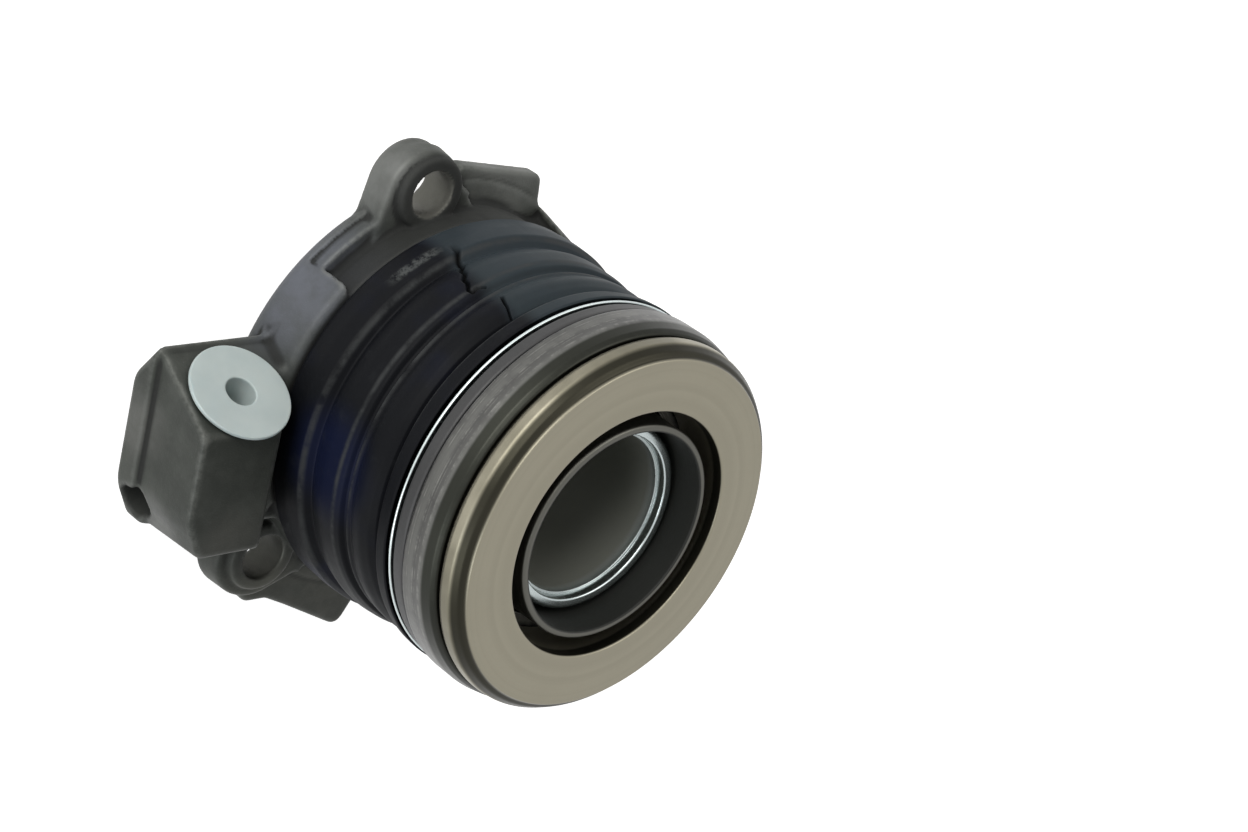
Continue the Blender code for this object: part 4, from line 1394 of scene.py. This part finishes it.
@dataclass
class DustBoot:
    """The rubber boot, with three shallow folds, a collar and two old cracks."""

    foot_z: float = 0.0103
    top_z: float = 0.0349
    outer: tuple[Corner, ...] = (
        (0.02940, 0.01030, 0.0003), (0.02985, 0.01110, 0.0010), (0.03004, 0.01400, 0.0060),
        (0.02990, 0.01640, 0.0008), (0.02920, 0.01715, 0.0005), (0.02835, 0.01775, 0.0004),
        (0.02870, 0.01850, 0.0006), (0.02918, 0.02050, 0.0050), (0.02900, 0.02330, 0.0020),
        (0.02865, 0.02445, 0.0006), (0.02800, 0.02480, 0.0003), (0.02775, 0.02520, 0.0002),
        (0.02825, 0.02550, 0.0003), (0.02800, 0.02620, 0.0003), (0.02835, 0.02710, 0.0010),
        (0.02845, 0.02840, 0.0040), (0.02800, 0.02990, 0.0020), (0.02740, 0.03085, 0.0006),
        (0.02660, 0.03140, 0.0005), (0.02650, 0.03190, 0.0004), (0.02810, 0.03215, 0.0006),
        (0.02880, 0.03280, 0.0005), (0.02885, 0.03465, 0.0004), (0.02860, 0.03490, 0.0002))
    inner: tuple[Point, ...] = (
        (0.0253, 0.0349), (0.0253, 0.0331), (0.0252, 0.0316), (0.0262, 0.0303),
        (0.0270, 0.0285), (0.0270, 0.0268), (0.0266, 0.0252), (0.0274, 0.0238),
        (0.0279, 0.0208), (0.0273, 0.0180), (0.0280, 0.0166), (0.0287, 0.0140),
        (0.0283, 0.0123), (0.0272, 0.0121), (0.0272, 0.0103))
    crack_one: tuple[Point, ...] = (
        # degrees round the shaft, height in mm
        (109.0, 16.2), (110.6, 17.3), (110.5, 18.2), (112.6, 19.3), (112.9, 20.3), (114.9, 21.4),
        (115.0, 22.3), (116.6, 23.3), (116.2, 24.0), (114.3, 23.8), (112.3, 24.3))
    crack_two: tuple[Point, ...] = (
        (111.5, 27.3), (112.5, 28.4), (112.9, 29.2), (114.0, 30.3), (115.2, 31.9))
    crack_tip: float = 0.00013
    crack_depth: float = 0.0008
    keep: float = 0.492

    def _turns(self) -> Samples:
        """Lay out the rows of points, close together round the cracks.

        Returns:
            The angles of the rows.
        """
        near = np.arange(107.5, 118.5, 0.13)
        far = np.arange(118.5, 467.5, 1.25)
        return np.radians(np.concatenate([near, far]))

    def _outline(self) -> list[Point]:
        """Lay out the boot's section, with close points where it shows.

        Returns:
            The outline's points.
        """
        outer = soft_outline(self.outer, 5, 0.0001)
        dense = []
        for here, there in zip(outer, outer[1:]):
            span = math.dist(here, there)
            parts = max(1, math.ceil(span / 0.00022)) if 0.0160 < here[1] < 0.0325 else 1
            out, up = there[0] - here[0], there[1] - here[1]
            dense += [(here[0] + out * k / parts, here[1] + up * k / parts) for k in range(parts)]
        return dense + [outer[-1], *self.inner]

    def _shape(self, radius: Samples, height: Samples, angle: Samples) -> tuple[Samples, Samples]:
        """Give the boot its slight waviness and its cracks.

        Args:
            radius: The points' radii.
            height: Their heights.
            angle: Their angles round the shaft.

        Returns:
            The new radii and heights.
        """
        free = ramp(height, self.foot_z, self.foot_z + 0.002) * ramp(height, self.top_z, self.top_z - 0.002)
        slow = 0.00008 * np.sin(3.0 * angle + height * 400.0)
        quick = 0.00005 * np.sin(7.0 * angle - height * 700.0)
        changed = radius + (slow + quick) * free
        lift = 0.00012 * np.sin(2.0 * angle + 0.7) * free
        self.torn = np.where(radius > 0.0272, self._groove(np.degrees(angle), height), 0.0)
        return changed - self.crack_depth * self.torn, height + lift

    def _groove(self, degrees: Samples, height: Samples) -> Samples:
        """Find how deep into a crack each point lies.

        Args:
            degrees: The points' angles round the shaft.
            height: Their heights.

        Returns:
            The depths, 1 on a crack's line and 0 away from it.
        """
        deepest = np.zeros(degrees.shape)
        scale = math.radians(1.0) * 0.0288
        along = degrees * scale
        for path, mouth in ((self.crack_one, 0.00042), (self.crack_two, 0.00020)):
            for i, (here, there) in enumerate(zip(path, path[1:])):
                ax, ay = here[0] * scale, here[1] * 0.001
                ex, ey = (there[0] - here[0]) * scale, (there[1] - here[1]) * 0.001
                t = np.clip(((along - ax) * ex + (height - ay) * ey) / (ex * ex + ey * ey), 0.0, 1.0)
                gap = np.hypot(along - ax - ex * t, height - ay - ey * t)
                share = (i + t) / (len(path) - 1)
                width = mouth + (self.crack_tip - mouth) * share
                deepest = np.maximum(deepest, np.exp(-(gap / width) ** 2))
        return deepest

    def build(self, materials: dict[Slot, bpy.types.Material]) -> None:
        """Build the boot.

        Args:
            materials: The materials by slot.
        """
        boot = lathe("dust_boot_moulded", self._outline(), self._turns(), self._shape)
        # The crack depth is also the mask of the painted shade in the cracks.
        store(boot, "crack", self.torn)
        put(boot, materials[Slot.RUBBER], Slot.RUBBER, Body.HOUSING, "dust_boot")
        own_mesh(boot)


@dataclass
class PreloadSpring:
    """The coil spring inside the boot."""

    coil_r: float = 0.0234
    wire_r: float = 0.00075
    turns: int = 5
    steps: int = 48
    sides: int = 12
    z: tuple[float, float] = (0.01105, 0.03195)
    foot_z: float = 0.0103
    keep: float = 0.442

    def build(self, materials: dict[Slot, bpy.types.Material]) -> None:
        """Build the spring.

        Args:
            materials: The materials by slot.
        """
        rows = []
        count = self.turns * self.steps
        for i in range(count + 1):
            angle = 2.0 * math.pi * i / self.steps
            height = self.z[0] + (self.z[1] - self.z[0]) * i / count
            ring = []
            for k in range(self.sides):
                lean = 2.0 * math.pi * k / self.sides
                radius = self.coil_r + self.wire_r * math.cos(lean)
                ring.append((radius * math.cos(angle), radius * math.sin(angle),
                             height + self.wire_r * math.sin(lean)))
            rows.append(ring)
        work = bmesh.new()
        points = [[work.verts.new(spot) for spot in ring] for ring in rows]
        for here, there in zip(points, points[1:]):
            for k in range(self.sides):
                j = (k + 1) % self.sides
                work.faces.new((here[k], here[j], there[j], there[k]))
        work.faces.new(points[0][::-1])
        work.faces.new(points[-1])
        bmesh.ops.recalc_face_normals(work, faces=work.faces)
        mesh = bpy.data.meshes.new("preload_spring_coil")
        work.to_mesh(mesh)
        work.free()
        mesh.shade_smooth()
        item = linked("preload_spring_coil", mesh)
        put(item, materials[Slot.DARK], Slot.DARK, Body.HOUSING, "preload_spring")
        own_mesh(item)


@dataclass
class Bearing:
    """The release bearing with the plates that carry it."""

    steps: int = 240
    hub_r: float = 0.0169
    plate: tuple[float, float, float] = (0.03535, 0.03580, 0.0286)
    carrier: tuple[float, float, float] = (0.0362, 0.0383, 0.0285)
    wave_pocket: tuple[float, float, float] = (0.0209, 0.0261, 0.0012)
    race: tuple[float, float, float, float] = (0.0386, 0.0449, 0.0289, 0.0281)
    race_wall: float = 0.0019
    race_floor: float = 0.0405
    face_z: float = 0.0492
    face_in_r: float = 0.0186
    face_out_r: float = 0.0262
    contact_r: float = 0.0280
    contact_z: float = 0.0453
    skirt_wall: float = 0.0015
    skirt_low: float = 0.0409
    contact_flat: float = 0.0445
    inset_r: float = 0.0266
    sleeve: tuple[float, float, float, float] = (0.0152, 0.0165, 0.0363, 0.0484)
    # Its bore colour is painted shade inside the sleeve.
    sleeve_finish: TurnedFinish = TurnedFinish(
        "sleeve_steel", base=(0.13, 0.128, 0.112, 1.0), shade=(0.09, 0.089, 0.078, 1.0), roughness=0.40,
        shaded_bore_radius=0.0153, bore=(0.006, 0.0068, 0.0052, 1.0))

    def _race_outline(self) -> list[Point]:
        """Lay out the still ring's section.

        Returns:
            The outline's points.
        """
        low, high, out_r, top_r = self.race
        inner = out_r - self.race_wall
        return soft_outline([
            (self.hub_r, low, 0.0002), (out_r, low, 0.0006), (out_r, low + 0.0038, 0.0030),
            (out_r - 0.0004, high - 0.0007, 0.0008), (top_r - 0.0001, high, 0.0006), (inner, high, 0.0005),
            (inner, self.race_floor, 0.0005), (self.hub_r, self.race_floor, 0.0002)], 7)

    def _contact_outline(self) -> list[Point]:
        """Lay out the turning ring's section: face, turned edge, groove and step.

        Returns:
            The outline's points.
        """
        top, low, out_r = self.face_z, self.contact_z, self.contact_r
        skirt = self.face_in_r + self.skirt_wall
        return soft_outline([
            (self.face_in_r, self.skirt_low, 0.0002), (skirt, self.skirt_low, 0.0002),
            (skirt, self.contact_flat, 0.0003), (self.inset_r, self.contact_flat, 0.0002),
            (self.inset_r, low, 0.0002), (out_r - 0.0002, low, 0.0003), (out_r, low + 0.0007, 0.0008),
            (out_r - 0.0001, low + 0.0019, 0.0010), (out_r - 0.0009, low + 0.0031, 0.0010),
            (self.face_out_r + 0.0003, top - 0.0005, 0.0004), (self.face_out_r, top, 0.0003),
            (self.face_in_r, top, 0.0004)], 7)

    def build(self, materials: dict[Slot, bpy.types.Material]) -> None:
        """Build the rings and plates.

        Args:
            materials: The materials by slot.
        """
        turns = even_turns(self.steps)
        low, high, out_r = self.plate
        plate = soft_outline([(self.hub_r, low, 0.0001), (out_r, low, 0.00025), (out_r, high, 0.00025),
                              (self.hub_r, high, 0.0001)], 4, 0.00005)
        put(lathe("carrier_plate_turned", plate, turns), materials[Slot.ZINC], Slot.ZINC, Body.SLIDER,
            "carrier_plate")
        low, high, out_r = self.carrier
        in_r, far_r, depth = self.wave_pocket
        carrier = soft_outline([
            (self.hub_r, low, 0.0002), (out_r, low, 0.0004), (out_r, high, 0.0005), (far_r, high, 0.0001),
            (far_r, high - depth, 0.0001), (in_r, high - depth, 0.0001), (in_r, high, 0.0001),
            (self.hub_r, high, 0.0002)], 4)
        put(lathe("bearing_carrier_moulded", carrier, turns), materials[Slot.BLACK], Slot.BLACK,
            Body.SLIDER, "bearing_carrier")
        put(lathe("fixed_race_turned", self._race_outline(), turns), materials[Slot.DARK], Slot.DARK,
            Body.SLIDER, "fixed_race")
        put(lathe("contact_ring_turned", self._contact_outline(), turns), materials[Slot.TURNED],
            Slot.TURNED, Body.RACE, "contact_ring")
        in_r, out_r, low, high = self.sleeve
        sleeve = soft_outline([(in_r, low, 0.0002), (out_r, low, 0.0002), (out_r - 0.0002, high, 0.0006),
                               (in_r, high, 0.0003)], 5)
        put(lathe("inner_sleeve_turned", sleeve, turns), self.sleeve_finish.make(), Slot.TURNED,
            Body.SLIDER, "inner_sleeve")


@dataclass
class PortPlug:
    """The pale plug in the fluid port."""

    head_r: float = 0.0074
    head: float = 0.0009
    stem_r: float = 0.00305
    stem: float = 0.0100
    hole_r: float = 0.0022
    hole: float = 0.0075
    seat: float = 0.0003

    def build(self, port: Matrix, materials: dict[Slot, bpy.types.Material]) -> None:
        """Build the plug.

        Args:
            port: The frame on the port's axis.
            materials: The materials by slot.
        """
        axis = 0.00001
        floor = self.head - self.hole
        outline = soft_outline([
            (axis, floor, 0.0), (self.hole_r - 0.0002, floor, 0.0005), (self.hole_r, self.head, 0.00025),
            (self.head_r, self.head, 0.00025), (self.head_r, self.seat, 0.0002),
            (self.stem_r, self.seat, 0.0003), (self.stem_r, -self.stem, 0.0005),
            (axis, -self.stem, 0.0)], 5)
        plug = lathe("port_plug_moulded", outline, even_turns(96))
        plug.data.transform(port)
        put(plug, materials[Slot.PALE], Slot.PALE, Body.PLUG, "port_plug")


class CarriedNodes:
    """The CAD nodes that keep their own mesh."""

    SLOTS = {
        Slot.RUBBER: ("tube_seal", "spigot_o_ring", "piston_seal"),
        Slot.BLACK: ("piston", "ball_cage"),
        Slot.DARK: ("wave_spring",),
        Slot.BALL: ("drilling_ball", *(f"bearing_ball_{i + 1:02d}" for i in range(12))),
    }

    def dress(self, materials: dict[Slot, bpy.types.Material]) -> None:
        """Give each carried node its finish.

        Args:
            materials: The materials by slot.
        """
        for slot, names in self.SLOTS.items():
            for name in names:
                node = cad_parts[name]
                node.data.materials.clear()
                node.data.materials.append(materials[slot])
                LOG.info("%s keeps its solid", name)


@dataclass
class Studio:
    """The camera, the lamps, the floor and the white surround."""

    place: tuple[float, float, float] = (-0.23815, 0.15326, 0.25552)
    right: tuple[float, float, float] = (0.7171423255, 0.2334653053, 0.6566588448)
    up: tuple[float, float, float] = (0.1181872817, 0.8878331692, -0.4447291649)
    back: tuple[float, float, float] = (-0.6868323313, 0.3965428314, 0.6091101144)
    lens: float = 75.0
    sensor: float = 36.0
    floor_z: float = -0.0076
    floor_size: float = 3.0
    floor_glow: float = 0.80
    lamps: tuple = (
        # name, position, size, watts, colour
        ("key_softbox", (-0.46, 0.50, 0.18), (0.52, 0.44), 4.4, (1.0, 0.99, 0.96)),
        ("left_softbox", (-0.55, -0.24, 0.15), (0.26, 0.30), 1.2, (0.95, 0.98, 1.0)),
        ("top_softbox", (0.20, 0.34, 0.50), (0.40, 0.40), 1.0, (1.0, 0.98, 0.94)),
    )
    aim: tuple[float, float, float] = (-0.005, 0.0, 0.02)
    ambient: float = 0.20

    def _camera(self) -> None:
        """Set the camera where the photograph was taken."""
        data = bpy.data.cameras.new("camera")
        data.lens = self.lens
        data.sensor_fit = "HORIZONTAL"
        data.sensor_width = self.sensor
        data.clip_start, data.clip_end = 0.01, 10.0
        camera = linked("camera", data)
        turn = Matrix((self.right, self.up, self.back)).transposed().to_4x4()
        camera.matrix_world = Matrix.Translation(self.place) @ turn
        bpy.context.scene.camera = camera

    def _lamps(self) -> None:
        """Set the soft lamps."""
        for name, place, size, power, colour in self.lamps:
            data = bpy.data.lights.new(name, "AREA")
            data.shape = "RECTANGLE"
            data.size, data.size_y = size
            data.energy = power
            data.color = colour
            lamp = linked(name, data)
            turn = (Vector(self.aim) - Vector(place)).to_track_quat("-Z", "Y")
            lamp.matrix_world = Matrix.Translation(place) @ turn.to_matrix().to_4x4()

    @staticmethod
    def _seen(tree: bpy.types.NodeTree) -> bpy.types.NodeSocket:
        """Tell the rays from the camera, a mirror or glass from all others.

        Args:
            tree: The node tree that gets the nodes.

        Returns:
            The output that is 1 for those rays and 0 for others.
        """
        path = tree.nodes.new("ShaderNodeLightPath")
        total = path.outputs["Is Camera Ray"]
        for name in ("Is Glossy Ray", "Is Transmission Ray"):
            both = tree.nodes.new("ShaderNodeMath")
            both.operation = "MAXIMUM"
            tree.links.new(total, both.inputs[0])
            tree.links.new(path.outputs[name], both.inputs[1])
            total = both.outputs[0]
        return total

    def _surround(self) -> None:
        """Make the world, white where it is seen."""
        world = bpy.data.worlds.new("surround")
        bpy.context.scene.world = world
        world.use_nodes = True
        tree = world.node_tree
        plain = tree.nodes["Background"]
        plain.inputs["Color"].default_value = (0.97, 0.985, 1.0, 1.0)
        plain.inputs["Strength"].default_value = self.ambient
        white = tree.nodes.new("ShaderNodeBackground")
        white.inputs["Color"].default_value = (1.0, 1.0, 1.0, 1.0)
        white.inputs["Strength"].default_value = 1.0
        both = tree.nodes.new("ShaderNodeMixShader")
        tree.links.new(self._seen(tree), both.inputs[0])
        tree.links.new(plain.outputs[0], both.inputs[1])
        tree.links.new(white.outputs[0], both.inputs[2])
        tree.links.new(both.outputs[0], tree.nodes["World Output"].inputs["Surface"])

    def _floor(self) -> None:
        """Make the pale floor, which keeps the object's shadow."""
        half = self.floor_size / 2.0
        corners = ((-half, -half), (half, -half), (half, half), (-half, half))
        points = np.array([(x, y, self.floor_z) for x, y in corners])
        floor = mesh_object("floor", points, np.array([(0, 1, 2, 3)]))
        nodes = NodeSet("pale_floor")
        nodes.finish(Base_Color=(0.90, 0.90, 0.90, 1.0), Roughness=0.9, Specular_IOR_Level=0.1)
        tree = nodes.tree
        glow = nodes.node("ShaderNodeEmission", {}, {"Color": (1.0, 1.0, 1.0, 1.0),
                                                     "Strength": self.floor_glow})
        dull = nodes.node("ShaderNodeAddShader", {}, {0: glow.outputs[0]})
        tree.links.new(nodes.shader.outputs[0], dull.inputs[1])
        both = nodes.node("ShaderNodeMixShader", {}, {0: self._seen(tree), 1: nodes.shader.outputs[0],
                                                      2: dull.outputs[0]})
        tree.links.new(both.outputs[0], tree.nodes["Material Output"].inputs["Surface"])
        floor.data.materials.append(nodes.material)

    def build(self) -> None:
        """Build the studio."""
        self._camera()
        self._lamps()
        self._surround()
        self._floor()
        bpy.context.scene.view_settings.view_transform = "Standard"


def main() -> None:
    """Build every piece and the studio."""
    logging.basicConfig(level=logging.INFO, format="%(message)s")
    Studio().build()
    materials = Finishes().make()
    housing = Housing()
    housing.build(materials)
    GuideTube().build(materials)
    DustBoot().build(materials)
    PreloadSpring().build(materials)
    Bearing().build(materials)
    PortPlug().build(housing.casting.port_frame(), materials)
    CarriedNodes().dress(materials)


if __name__ == "__main__":
    main()
